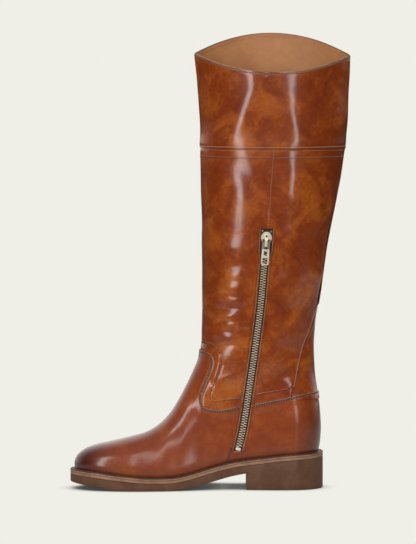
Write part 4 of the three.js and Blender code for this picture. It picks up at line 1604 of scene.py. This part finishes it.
@dataclass
class Zip:
    """Teeth, stops, slider and pull tab."""

    pitch: float = 2.6
    chain_from: float = 44.4
    chain_to: float = 248.0
    slider_z: float = 257.5
    hinge_v: float = -9.2
    hinge_w: float = 1.8
    rest: float = 2.6
    eye_v: float = 4.7
    # Where on the crown its band of painted shade starts and ends.
    gap_from: float = -8.3
    gap_to: float = -5.9
    body_top: float = 1.0
    bright_from: float = 0.8
    head_from: float = 2.4
    head_length: float = 6.5
    head_half: float = 5.5
    body_half: float = 4.1
    spread_from: float = 243.0

    def build(self, wardrobe: Wardrobe) -> None:
        """Builds the metal pieces and dresses them."""
        dress(self._teeth(), Slot.BRASS, wardrobe.brass, stands_for=("zip_chain",))
        # The slider's lower body takes the shaded brass copy and a band of its crown the near-black strip
        # material: painted shade.
        dress(self._slider(), Slot.BRASS, wardrobe.brass, wardrobe.dull, wardrobe.groove,
              stands_for=("zip_slider",))
        dress(self._eye(), Slot.TAPE, wardrobe.groove)
        dress(self._pull(), Slot.BRASS, wardrobe.brass, body="pull", stands_for=("zip_pull",))
        # The top stops take the shaded brass copy: painted shade.
        stops = (("zip_top_stop_front", -4.4), ("zip_top_stop_back", 4.4))
        for node, u in stops:
            stop = self._block(f"{node}_cap", (1.6, 1.9, 1.8), 0.4)
            self._put(stop, zip_frame(self.slider_z), (u, 9.6, -1.2))
            dress(stop, Slot.BRASS, wardrobe.dull, stands_for=(node,))
        stop = self._block("zip_bottom_stop_cap", (5.4, 3.2, 2.3), 0.6)
        self._put(stop, zip_frame(ZIP_BOTTOM + 2.4), (0, 0, -1.05))
        dress(stop, Slot.BRASS, wardrobe.brass, stands_for=("zip_bottom_stop",))
        tape = bpy.data.objects["zip_tape"]
        tape.data.materials.clear()
        tape.data.materials.append(wardrobe.tape)

    @staticmethod
    def _put(piece: bpy.types.Object, frame: Array, at: Sequence[float] = (0, 0, 0)) -> None:
        """Moves a piece from its own frame into place."""
        points = coordinates(piece) + np.array(at, float)
        move_to(piece, points @ frame[:3, :3].T + frame[:3, 3])

    @staticmethod
    def _block(name: str, size: Sequence[float], bevel: float) -> bpy.types.Object:
        """A small block with round edges."""
        bpy.ops.mesh.primitive_cube_add(size=1)
        piece = bpy.context.active_object
        piece.name = piece.data.name = name
        move_to(piece, coordinates(piece) * MM * np.array(size, float))
        modify(piece, "BEVEL", width=bevel * MM, segments=3, limit_method="NONE")
        smooth(piece, 50)
        return piece

    def _teeth(self) -> bpy.types.Object:
        """Two rows of teeth that mesh in the middle."""
        tooth = self._block("tooth", (3.15, 0.80, 1.5), 0.22)
        points = coordinates(tooth)
        head = np.clip((points[:, 0] + 1.5) / 3.0, 0, 1)
        points[:, 1] *= mix(1.0, 0.78, head)
        points[:, 2] *= mix(0.85, 1.0, head)
        points[:, 0] -= 1.40
        points[:, 1] += 0.12 * head
        move_to(tooth, points)
        frames = []
        for side in (0, 1):
            z = self.chain_from + side * self.pitch / 2
            while z < self.chain_to:
                frame = zip_frame(z, 0.95)
                if side:
                    frame[:3, 0] = -frame[:3, 0]
                frame[:3, 3] -= frame[:3, 0] * max(z - self.spread_from, 0.0) * 0.12
                frames.append(frame)
                z += self.pitch * frame[2, 1]
        piece = joined_copies("zip_teeth", tooth, np.array(frames))
        face_outwards(piece)
        return piece

    def _plate(self, name: str, widths: Sequence[tuple[float, float]], low: float, high: float,
               bevel: float) -> bpy.types.Object:
        """A flat plate with a mirrored outline.

        Args:
            name: Name of the piece.
            widths: Rows of v and half width, from the bottom up.
            low: Height of its underside.
            high: Height of its top.
            bevel: Width of its rounded edges.

        Returns:
            The new piece, in its own frame.
        """
        rows = np.array(widths, float)

        def place(u: Array, v: Array) -> Array:
            row = np.rint(v * (len(rows) - 1)).astype(int)
            return np.column_stack(((2 * u - 1) * rows[row, 1], rows[row, 0], np.full(len(u), high)))

        piece = mapped_grid(name, 6, len(rows) - 1, place, OUTWARD)
        modify(piece, "SOLIDIFY", thickness=(high - low) * MM, offset=-1.0)
        rounded(piece, bevel)
        return piece

    def _slider(self) -> bpy.types.Object:
        """The slider's two plates, the wedge between them, its rails, the ring and the crown."""
        v = np.linspace(-11.2, 8.9, 22)
        shoulder = mix(self.body_half, self.head_half, ease((v + 2.8) / 4.5))
        past = np.clip((v - self.head_from) / self.head_length, 0, 1)
        width = np.where(v > self.head_from, self.head_half * np.sqrt(1 - 0.93 * past ** 2), shoulder)
        outline = list(zip(v, width))
        top = self._plate("zip_slider_body", outline, -0.2, 0.8, 0.35)
        bottom = self._plate("slider_back", outline, -2.2, -1.4, 0.3)
        wedge = self._block("slider_wedge", (2.6, 6.0, 2.0), 0.3)
        self._put(wedge, np.identity(4), (0, 5.2, -0.7))
        crown = self._crown()
        rail = [self._block("slider_rail", (0.8, 9.5, 2.0), 0.25) for _ in range(2)]
        for piece, u in zip(rail, (-3.6, 3.6)):
            self._put(piece, np.identity(4), (u, -6.3, -0.7))
        bpy.ops.mesh.primitive_torus_add(major_segments=24, minor_segments=8, major_radius=1.75 * MM,
                                         minor_radius=0.55 * MM)
        ring = bpy.context.active_object
        self._put(ring, np.identity(4), (0, self.eye_v, 1.0))
        slider = joined([top, bottom, wedge, crown, ring, *rail])
        # Painted shade: the body below the crown's bright bar takes the shaded brass copy, and a band of the
        # crown over the pull takes the near-black material of the notch's shade.
        for polygon in slider.data.polygons:
            _, v, w = np.array(polygon.center) / MM
            if w < self.body_top and v < self.bright_from:
                polygon.material_index = 1
            elif w > self.body_top and self.gap_from < v < self.gap_to:
                polygon.material_index = 2
        self._put(slider, zip_frame(self.slider_z))
        smooth(slider, 40)
        return slider

    def _eye(self) -> bpy.types.Object:
        """Dark painted shade in the hole at the slider's head and in the two recesses beside its crown."""
        bpy.ops.mesh.primitive_cylinder_add(vertices=24, radius=1.35 * MM, depth=0.3 * MM)
        eye = bpy.context.active_object
        eye.name = eye.data.name = "slider_eye"
        self._put(eye, np.identity(4), (0, self.eye_v, 0.85))
        recesses = [self._block("recess", (1.3, 3.2, 0.3), 0.1) for _ in range(2)]
        for recess, u in zip(recesses, (-2.6, 2.6)):
            self._put(recess, np.identity(4), (u, 0.0, 0.8))
        eye = joined([eye, *recesses])
        self._put(eye, zip_frame(self.slider_z))
        smooth(eye, 40)
        return eye

    def _crown(self) -> bpy.types.Object:
        """The bent bar over the slider that holds the pull."""
        steps = [0, 1.6, 3.2, 5.5, 10.0, 13.5, 15.0, 16.2, 19.0]
        path = Curve(steps, [3.2, 3.0, 2.1, -0.2, -4.6, -8.0, -9.6, -10.6, -10.75])
        rise = Curve(steps, [0.6, 1.7, 2.6, 3.1, 3.12, 3.12, 3.05, 2.5, 0.2])

        def place(u: Array, v: Array) -> Array:
            t = v * steps[-1]
            return np.column_stack(((2 * u - 1) * 1.4, path(t), rise(t)))

        piece = mapped_grid("slider_crown", 4, 30, place, OUTWARD)
        modify(piece, "SOLIDIFY", thickness=0.72 * MM, offset=0.0)
        rounded(piece, 0.22, 2)
        return piece

    def _pull(self) -> bpy.types.Object:
        """The pull tab, with its slot round the crown and a window below it."""
        columns = (-1.0, -0.62, 0.62, 1.0)
        rows = (
            (0.62, 3.4, 1.7), (-0.62, 3.85, 1.7), (-6.0, 3.9, 1.7), (-8.6, 3.95, 2.55),
            (-14.4, 3.85, 2.55), (-15.3, 3.5, 2.2), (-15.9, 2.4, 1.4),
        )
        table = np.array(rows, float)

        def place(u: Array, v: Array) -> Array:
            row = np.rint(v * (len(rows) - 1)).astype(int)
            column = np.rint(u * (len(columns) - 1)).astype(int)
            half = np.where((column == 0) | (column == 3), table[row, 1], table[row, 2])
            across = np.sign(np.array(columns)[column]) * half
            return np.column_stack((across, table[row, 0], np.full(len(u), 0.5)))

        piece = mapped_grid("zip_pull_tab", 3, len(rows) - 1, place, OUTWARD)
        mesh = bmesh.new()
        mesh.from_mesh(piece.data)
        holes = []
        for face in mesh.faces:
            u, v, _ = np.array(face.calc_center_median()) / MM
            if abs(u) < 0.5 and (-6.0 < v < -0.62 or -14.4 < v < -8.6):
                holes.append(face)
        bmesh.ops.delete(mesh, geom=holes, context="FACES")
        mesh.to_mesh(piece.data)
        mesh.free()
        modify(piece, "SOLIDIFY", thickness=1.0 * MM, offset=-1.0)
        rounded(piece, 0.28)
        smooth(piece, 40)
        turn = math.radians(-self.rest)
        hang = np.identity(4)
        hang[1:3, 1:3] = [[math.cos(turn), -math.sin(turn)], [math.sin(turn), math.cos(turn)]]
        hang[:3, 3] = (0, self.hinge_v, self.hinge_w)
        self._put(piece, zip_frame(self.slider_z) @ hang)
        return piece


# ---------------- stitches


@dataclass
class Needlework:
    """Rows of stitches, dark strips of painted shade along the seams and raw edges, settled on the leather.
    """

    pitch: float = 2.6
    length: float = 1.5
    width: float = 0.9
    height: float = 0.6
    slant: float = 30.0
    row_gap: float = 1.5
    strip_step: float = 1.2

    def build(self, wardrobe: Wardrobe, panels: Sequence[bpy.types.Object]) -> None:
        """Sews every row.

        Args:
            wardrobe: The materials.
            panels: The leg, foot, band and stay leather, the lining and the welt.
        """
        leg, foot, band, stay, lining, welt = (self._tree(panel) for panel in panels)
        foot_row = self._both_sides(self._shifted(FOOT_SEAM.points, self.row_gap))
        foot_edge = self._both_sides(self._shifted(FOOT_SEAM.points, -0.1))
        stay_row = self._both_sides(self._shifted(STAY_EDGE.points[8:], self.row_gap + 0.4))
        stay_edge = self._both_sides(self._shifted(STAY_EDGE.points[8:], -0.2))
        ankle_edge = self._both_sides(self._shifted(ANKLE_SEAM.points, -1.0))
        counter = [self._side_line(COUNTER_SEAM.points, Side.INNER)]
        edge, groove = wardrobe.edge, wardrobe.groove

        # The near-black strips along the seams are painted shade in their troughs.
        self._lay("foot_seam_groove", groove, foot, foot_row, 2.3)
        self._lay("foot_raw_edge", edge, foot, foot_edge, 1.0, 0.32)
        self._lay("ankle_edge", edge, leg, ankle_edge, 0.4)
        self._lay("stay_raw_edge", edge, stay, stay_edge, 0.9, 0.32)
        self._lay("counter_groove", groove, foot, counter, 0.9)
        self._lay("band_groove", groove, band, [self._round(351.3)], 0.7)
        self._lay("shaft_edge", edge, leg, [self._round(349.0)], 0.45)
        self._lay("shaft_groove", groove, leg, [self._round(341.2)], 0.6)
        self._lay("collar_groove", groove, band, [self._under_top(2.1)], 1.5)
        self._lay("collar_raw_edge", edge, band, [self._under_top(0.4)], 1.3)
        self._lay("zip_raw_edge", edge, leg, self._beside_zip(90, 0.5), 0.5)
        self._lay("zip_foot_edge", edge, foot, self._beside_zip(ZIP_BOTTOM, 0.5, 84), 0.5)

        dark, mid, light = wardrobe.dark_thread, wardrobe.seam_thread, wardrobe.thread
        self._sew("foot_seam_stitches", mid, foot, foot_row)
        self._sew("ankle_stitches", dark, leg, self._both_sides(ANKLE_SEAM.points))
        self._sew("zip_stitches", dark, foot, [self._zip_end()])
        self._sew("zip_leg_stitches", dark, leg, self._beside_zip(88, 2.3, ZIP_TOP + 1.5))
        self._sew("side_seam_stitches", mid, leg, self._both_sides(SIDE_SEAM.points + [1.2, 0]))
        counter_row = self._side_line(COUNTER_SEAM.points - [1.6, 0], Side.INNER)
        self._sew("counter_stitches", dark, foot, [counter_row])
        self._sew("stay_stitches", dark, stay, stay_row)
        self._sew("band_stitches", light, band, [self._round(352.5)], 3.0)
        self._sew("shaft_stitches", mid, leg, [self._round(342.2)])
        self._sew("collar_stitches", light, band, [self._under_top(2.1)], 3.0)
        self._sew("lining_stitches", mid, lining, [self._under_top(3.2, 2.5)])
        self._sew("welt_stitches", mid, welt, [self._welt_row()], 3.0)

    @staticmethod
    def _tree(panel: bpy.types.Object) -> BVHTree:
        """A search tree of a panel's faces."""
        vertices = [vertex.co.copy() for vertex in panel.data.vertices]
        faces = [tuple(polygon.vertices) for polygon in panel.data.polygons]
        return BVHTree.FromPolygons(vertices, faces)

    @staticmethod
    def _side_line(line: Array, side: float) -> Array:
        """Points in space of a line on one side."""
        dense = np.linspace(0, len(line) - 1, 1500)
        step = np.arange(len(line))
        x = np.interp(dense, step, line[:, 0])
        z = np.interp(dense, step, line[:, 1])
        inside = (x > OUTER_FORM.front(z)) & (x < OUTER_FORM.back(z))
        return OUTER_FORM.point(x[inside], z[inside], side)

    def _both_sides(self, line: Array) -> list[Array]:
        """A line on both sides, cut where the zip's opening is."""
        inner = self._side_line(line, Side.INNER)
        z = inner[:, 2]
        beside = np.abs(inner[:, 0] - zip_middle(z)) - zip_half(z)
        level = np.maximum(ZIP_BOTTOM - z, z - ZIP_TOP)
        clear = np.maximum(beside, level) > 3.4
        breaks = np.flatnonzero(np.diff(clear.astype(int)))
        runs = [run for run in np.split(np.arange(len(z)), breaks + 1) if clear[run[0]] and len(run) > 20]
        return [inner[run] for run in runs] + [self._side_line(line, Side.OUTER)]

    @staticmethod
    def _shifted(line: Array, distance: float) -> Array:
        """A line moved sideways, to the right of its own direction."""
        along = np.gradient(line, axis=0)
        along /= np.linalg.norm(along, axis=1)[:, None]
        return line + distance * np.column_stack((along[:, 1], -along[:, 0]))

    @staticmethod
    def _zip_end() -> Array:
        """The U of stitches round the zip's lower end, on the foot leather."""
        z = np.linspace(84, ZIP_BOTTOM - 1.0, 60)
        down = np.column_stack((zip_middle(z) - 6.7, z))
        up = np.column_stack((zip_middle(z) + 6.7, z))[::-1]
        turn = np.linspace(0, math.pi, 24)
        low = np.column_stack((zip_middle(ZIP_BOTTOM - 1.0) - 6.7 * np.cos(turn),
                               ZIP_BOTTOM - 1.0 - 2.4 * np.sin(turn)))
        return Needlework._side_line(np.vstack((down, low, up)), Side.INNER)

    @staticmethod
    def _beside_zip(low: float, gap: float, high: float = ZIP_TOP) -> list[Array]:
        """Lines down both sides of the zip's opening, a gap away from it."""
        z = np.linspace(low, high, 120)
        half = zip_half(z) + gap
        lines = [np.column_stack((zip_middle(z) + edge * half, z)) for edge in (-1, 1)]
        return [Needlework._side_line(line, Side.INNER) for line in lines]

    @staticmethod
    def _round(height: float) -> Array:
        """A level line all the way round the leg."""
        turn = np.linspace(0, 1, 3000, endpoint=False)
        s = (1 - np.cos(2 * np.pi * turn)) / 2
        x = mix(OUTER_FORM.front(height), OUTER_FORM.back(height), s)
        return OUTER_FORM.point(x, np.full_like(x, height), np.where(turn <= 0.5, -1.0, 1.0))

    @staticmethod
    def _under_top(below: float, inset: float = 0.0) -> Array:
        """A line all the way round, a little under the top edge."""
        turn = np.linspace(0, 1, 3000, endpoint=False)
        points = Wrap(BootForm(inset)).place(turn, np.full_like(turn, COLLAR.front))
        return points - [0, 0, below]

    def _welt_row(self) -> Array:
        """The line of stitches on the welt, outside the upper."""
        sole = Sole()
        places = sole.form_places(LAST.toe - sole.edge)
        plan = sole.outline(1.7, places)
        return np.column_stack((plan, feather(plan[:, 0])))

    @staticmethod
    def _along(row: Array, places: Callable[[float], Array]) -> Array:
        """Points of a line at chosen distances along it.

        Args:
            row: The line's points.
            places: Gives the distances for the line's length.

        Returns:
            The points, one row each.
        """
        chord = np.concatenate(([0], np.cumsum(np.linalg.norm(np.diff(row, axis=0), axis=1))))
        at = places(chord[-1])
        return np.column_stack([np.interp(at, chord, row[:, k]) for k in range(3)])

    @staticmethod
    def _settled(tree: BVHTree, points: Array) -> tuple[Array, Array]:
        """The nearest places of a panel and the normals there."""
        found = [tree.find_nearest(Vector(point * MM)) for point in points]
        return np.array([hit[0] for hit in found]) / MM, np.array([hit[1] for hit in found])

    def _lay(self, name: str, material: bpy.types.Material, tree: BVHTree, rows: Sequence[Array],
             width: float, height: float = 0.22) -> None:
        """Lays narrow strips along lines of a panel.

        Args:
            name: Name of the piece.
            material: The strip's material.
            tree: Search tree of the panel.
            rows: Points along each line.
            width: Width of the strip.
            height: How high it stands.
        """
        across = np.array([-0.5, -0.27, 0.27, 0.5]) * width
        lift = np.array([-0.15, height, height, -0.15])
        strips = []
        for row in rows:
            points = self._along(row, lambda whole: np.linspace(0, whole, int(whole / self.strip_step) + 2))
            places, ups = self._settled(tree, points)
            for _ in range(3):
                ups[1:-1] = (ups[:-2] + ups[1:-1] + ups[2:]) / 3
                places[1:-1] = (places[:-2] + 2 * places[1:-1] + places[2:]) / 4
            ups /= np.linalg.norm(ups, axis=1)[:, None]
            side = np.cross(ups, np.gradient(places, axis=0))
            side /= np.linalg.norm(side, axis=1)[:, None]

            def place(u: Array, v: Array) -> Array:
                column = np.rint(u * 3).astype(int)
                step = np.rint(v * (len(places) - 1)).astype(int)
                return (places[step] + side[step] * across[column][:, None]
                        + ups[step] * lift[column][:, None])

            mean = ups.mean(axis=0)
            one_sided = np.linalg.norm(mean) > 0.4
            strips.append(mapped_grid(name, 3, len(places) - 1, place, mean if one_sided else None))
        piece = joined(strips)
        smooth(piece, 60)
        dress(piece, Slot.LEATHER, material)

    def _sew(self, name: str, thread: bpy.types.Material, tree: BVHTree, rows: Sequence[Array],
             pitch: float = pitch) -> None:
        """Lays stitches along lines and settles them on a panel.

        Args:
            name: Name of the piece.
            thread: The thread's material.
            tree: Search tree of the panel.
            rows: Points along each line.
            pitch: Length from one stitch to the next.
        """
        frames = []
        turn = math.radians(self.slant)
        for row in rows:
            points = self._along(row, lambda whole: np.arange(pitch / 2, whole, pitch / 2))
            places, ups = self._settled(tree, points[::2])
            ahead = np.gradient(points, axis=0)[::2]
            for here, up, along in zip(places, ups, ahead):
                forward = unit(along - up * (along @ up))
                aside = np.cross(up, forward)
                forward = forward * math.cos(turn) + aside * math.sin(turn)
                frame = np.identity(4)
                frame[:3, 0] = forward * pitch / self.pitch
                frame[:3, 1] = np.cross(up, forward)
                frame[:3, 2] = up
                frame[:3, 3] = here + up * 0.25
                frames.append(frame)
        piece = joined_copies(name, self._stitch(), np.array(frames))
        dress(piece, Slot.LEATHER, thread)

    def _stitch(self) -> bpy.types.Object:
        """One stitch: a short round bar whose ends dip into the leather."""
        bpy.ops.mesh.primitive_uv_sphere_add(segments=6, ring_count=5, radius=1)
        piece = bpy.context.active_object
        points = coordinates(piece) * MM
        along = np.sign(points[:, 2]) * np.abs(points[:, 2]) ** 0.7
        bar = np.column_stack((along * self.length / 2, points[:, 0] * self.width / 2,
                               points[:, 1] * self.height / 2))
        bar[:, 2] -= 0.22 * np.abs(along) ** 3
        move_to(piece, bar)
        face_outwards(piece)
        return piece


# ---------------- the studio


class Softbox(NamedTuple):
    """A tall light. Angles are in degrees from straight ahead, lengths in metres, power in watts."""

    name: str
    angle: float
    distance: float
    width: float
    height: float
    power: float
    middle: float = 0.75


@dataclass(frozen=True)
class Studio:
    """Floor, background, lights and camera."""

    backdrop: Tone = (0.863, 0.863, 0.799, 1)
    floor_ahead: float = 0.45
    floor_beside: float = 0.85
    floor_glow: float = 0.55
    softboxes: tuple[Softbox, ...] = (
        Softbox("left_softbox", -40, 1.9, 0.38, 2.2, 17.0),
        Softbox("right_softbox", 28, 1.9, 0.17, 2.0, 8.0),
        Softbox("top_softbox", -2, 2.0, 0.30, 1.5, 5.5, 1.45),
    )
    fill: Softbox = Softbox("fill", 0, 3.0, 3.0, 3.0, 56.0)
    lens: float = 321.5
    camera_at: tuple[float, float, float] = (-0.0794, -5.0, 0.552)
    aim_at: tuple[float, float, float] = (-0.0794, 0.0, 0.2225)

    def build(self) -> None:
        """Sets everything up."""
        self._camera()
        self._floor()
        self._world()
        for softbox in self.softboxes:
            self._strip(softbox)
        self._strip(self.fill).visible_glossy = False
        bpy.context.scene.view_settings.view_transform = "Standard"

    def _camera(self) -> None:
        """The camera, level with the boot's middle and looking a little down."""
        data = bpy.data.cameras.new("camera")
        data.lens = self.lens
        data.sensor_width = 36
        data.clip_end = 200
        camera = bpy.data.objects.new("camera", data)
        bpy.context.scene.collection.objects.link(camera)
        camera.location = self.camera_at
        aim = Vector(self.aim_at) - camera.location
        camera.rotation_euler = aim.to_track_quat("-Z", "Y").to_euler()
        bpy.context.scene.camera = camera

    def _floor(self) -> None:
        """A pale floor with a painted contact shadow: it darkens where the sole is close."""
        bpy.ops.mesh.primitive_plane_add(size=160, location=(0, 0, -0.0002))
        floor = bpy.context.active_object
        floor.name = "floor"
        material = bpy.data.materials.new("pale_floor")
        material.use_nodes = True
        graph = Graph(material.node_tree)
        material.node_tree.nodes.remove(material.node_tree.nodes["Principled BSDF"])
        # Painted contact shadow: the ambient occlusion darkens the floor's glow towards near-black under and
        # beside the sole.
        open_above = graph.add("ShaderNodeAmbientOcclusion", {"Distance": 0.025}, samples=12).outputs["AO"]
        shade = graph.add("ShaderNodeValToRGB", {"Fac": open_above})
        shade.color_ramp.elements[0].color = (0.055, 0.055, 0.052, 1)
        shade.color_ramp.elements[1].color = self.backdrop
        shade.color_ramp.elements[0].position = 0.05
        shade.color_ramp.elements[1].position = 0.92
        shade.color_ramp.interpolation = "EASE"
        place = graph.add("ShaderNodeTexCoord").outputs["Object"]
        axes = graph.add("ShaderNodeSeparateXYZ", {0: place}).outputs
        near = graph.maths("GREATER_THAN", axes[1], -self.floor_ahead)
        between = graph.maths("LESS_THAN", graph.maths("ABSOLUTE", axes[0]), self.floor_beside)
        lit = graph.maths("MULTIPLY", graph.maths("MULTIPLY", near, between), self.floor_glow)
        seen = graph.add("ShaderNodeLightPath").outputs["Is Camera Ray"]
        strength = graph.maths("MAXIMUM", lit, seen)
        glow = graph.add("ShaderNodeEmission", {"Color": shade.outputs["Color"], "Strength": strength})
        out = material.node_tree.nodes["Material Output"]
        material.node_tree.links.new(glow.outputs[0], out.inputs["Surface"])
        floor.data.materials.append(material)
        floor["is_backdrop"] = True

    def _world(self) -> None:
        """Pale behind the boot, and a dim room with bright sides for its reflections."""
        world = bpy.data.worlds.new("studio")
        bpy.context.scene.world = world
        world.use_nodes = True
        graph = Graph(world.node_tree)
        way = graph.add("ShaderNodeTexCoord").outputs["Generated"]
        axes = graph.add("ShaderNodeSeparateXYZ", {0: way}).outputs
        behind = graph.span(axes[1], 0.02, 0.62)
        above = graph.span(axes[2], 0.35, 0.95, 0.0, 0.35)
        bright = graph.maths("MAXIMUM", behind, above)
        room = graph.blend(bright, (0.045, 0.045, 0.05, 1), (0.95, 0.94, 0.92, 1))
        seen = graph.add("ShaderNodeLightPath").outputs["Is Camera Ray"]
        colour = graph.blend(seen, room, self.backdrop)
        world.node_tree.links.new(colour, world.node_tree.nodes["Background"].inputs["Color"])

    @staticmethod
    def _strip(softbox: Softbox) -> bpy.types.Object:
        """Sets up a softbox that faces the boot's middle."""
        data = bpy.data.lights.new(softbox.name, "AREA")
        data.shape = "RECTANGLE"
        data.size, data.size_y = softbox.width, softbox.height
        data.energy = softbox.power
        light = bpy.data.objects.new(softbox.name, data)
        bpy.context.scene.collection.objects.link(light)
        turn = math.radians(softbox.angle)
        light.location = (-0.02 + softbox.distance * math.sin(turn), -softbox.distance * math.cos(turn),
                          softbox.middle)
        aim = Vector((-0.02, 0.0, 0.25)) - light.location
        light.rotation_euler = aim.to_track_quat("-Z", "Y").to_euler()
        light.visible_camera = False
        return light


def corners(box: tuple[Vector, Vector]) -> list[list[float]]:
    """A box as plain lists of numbers."""
    return [[float(value) for value in corner] for corner in box]


def main() -> None:
    """Builds the boot round its frame."""
    logging.basicConfig(level=logging.INFO, format="%(name)s: %(message)s")
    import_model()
    cad_box = corners(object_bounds())
    wardrobe = Wardrobe()
    panels = Upper().build(wardrobe)
    panels += Sole().build(wardrobe)
    Zip().build(wardrobe)
    Needlework().build(wardrobe, panels)
    Studio().build()
    {"cad": cad_box, "visual": corners(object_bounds())}


if __name__ == "__main__":
    main()
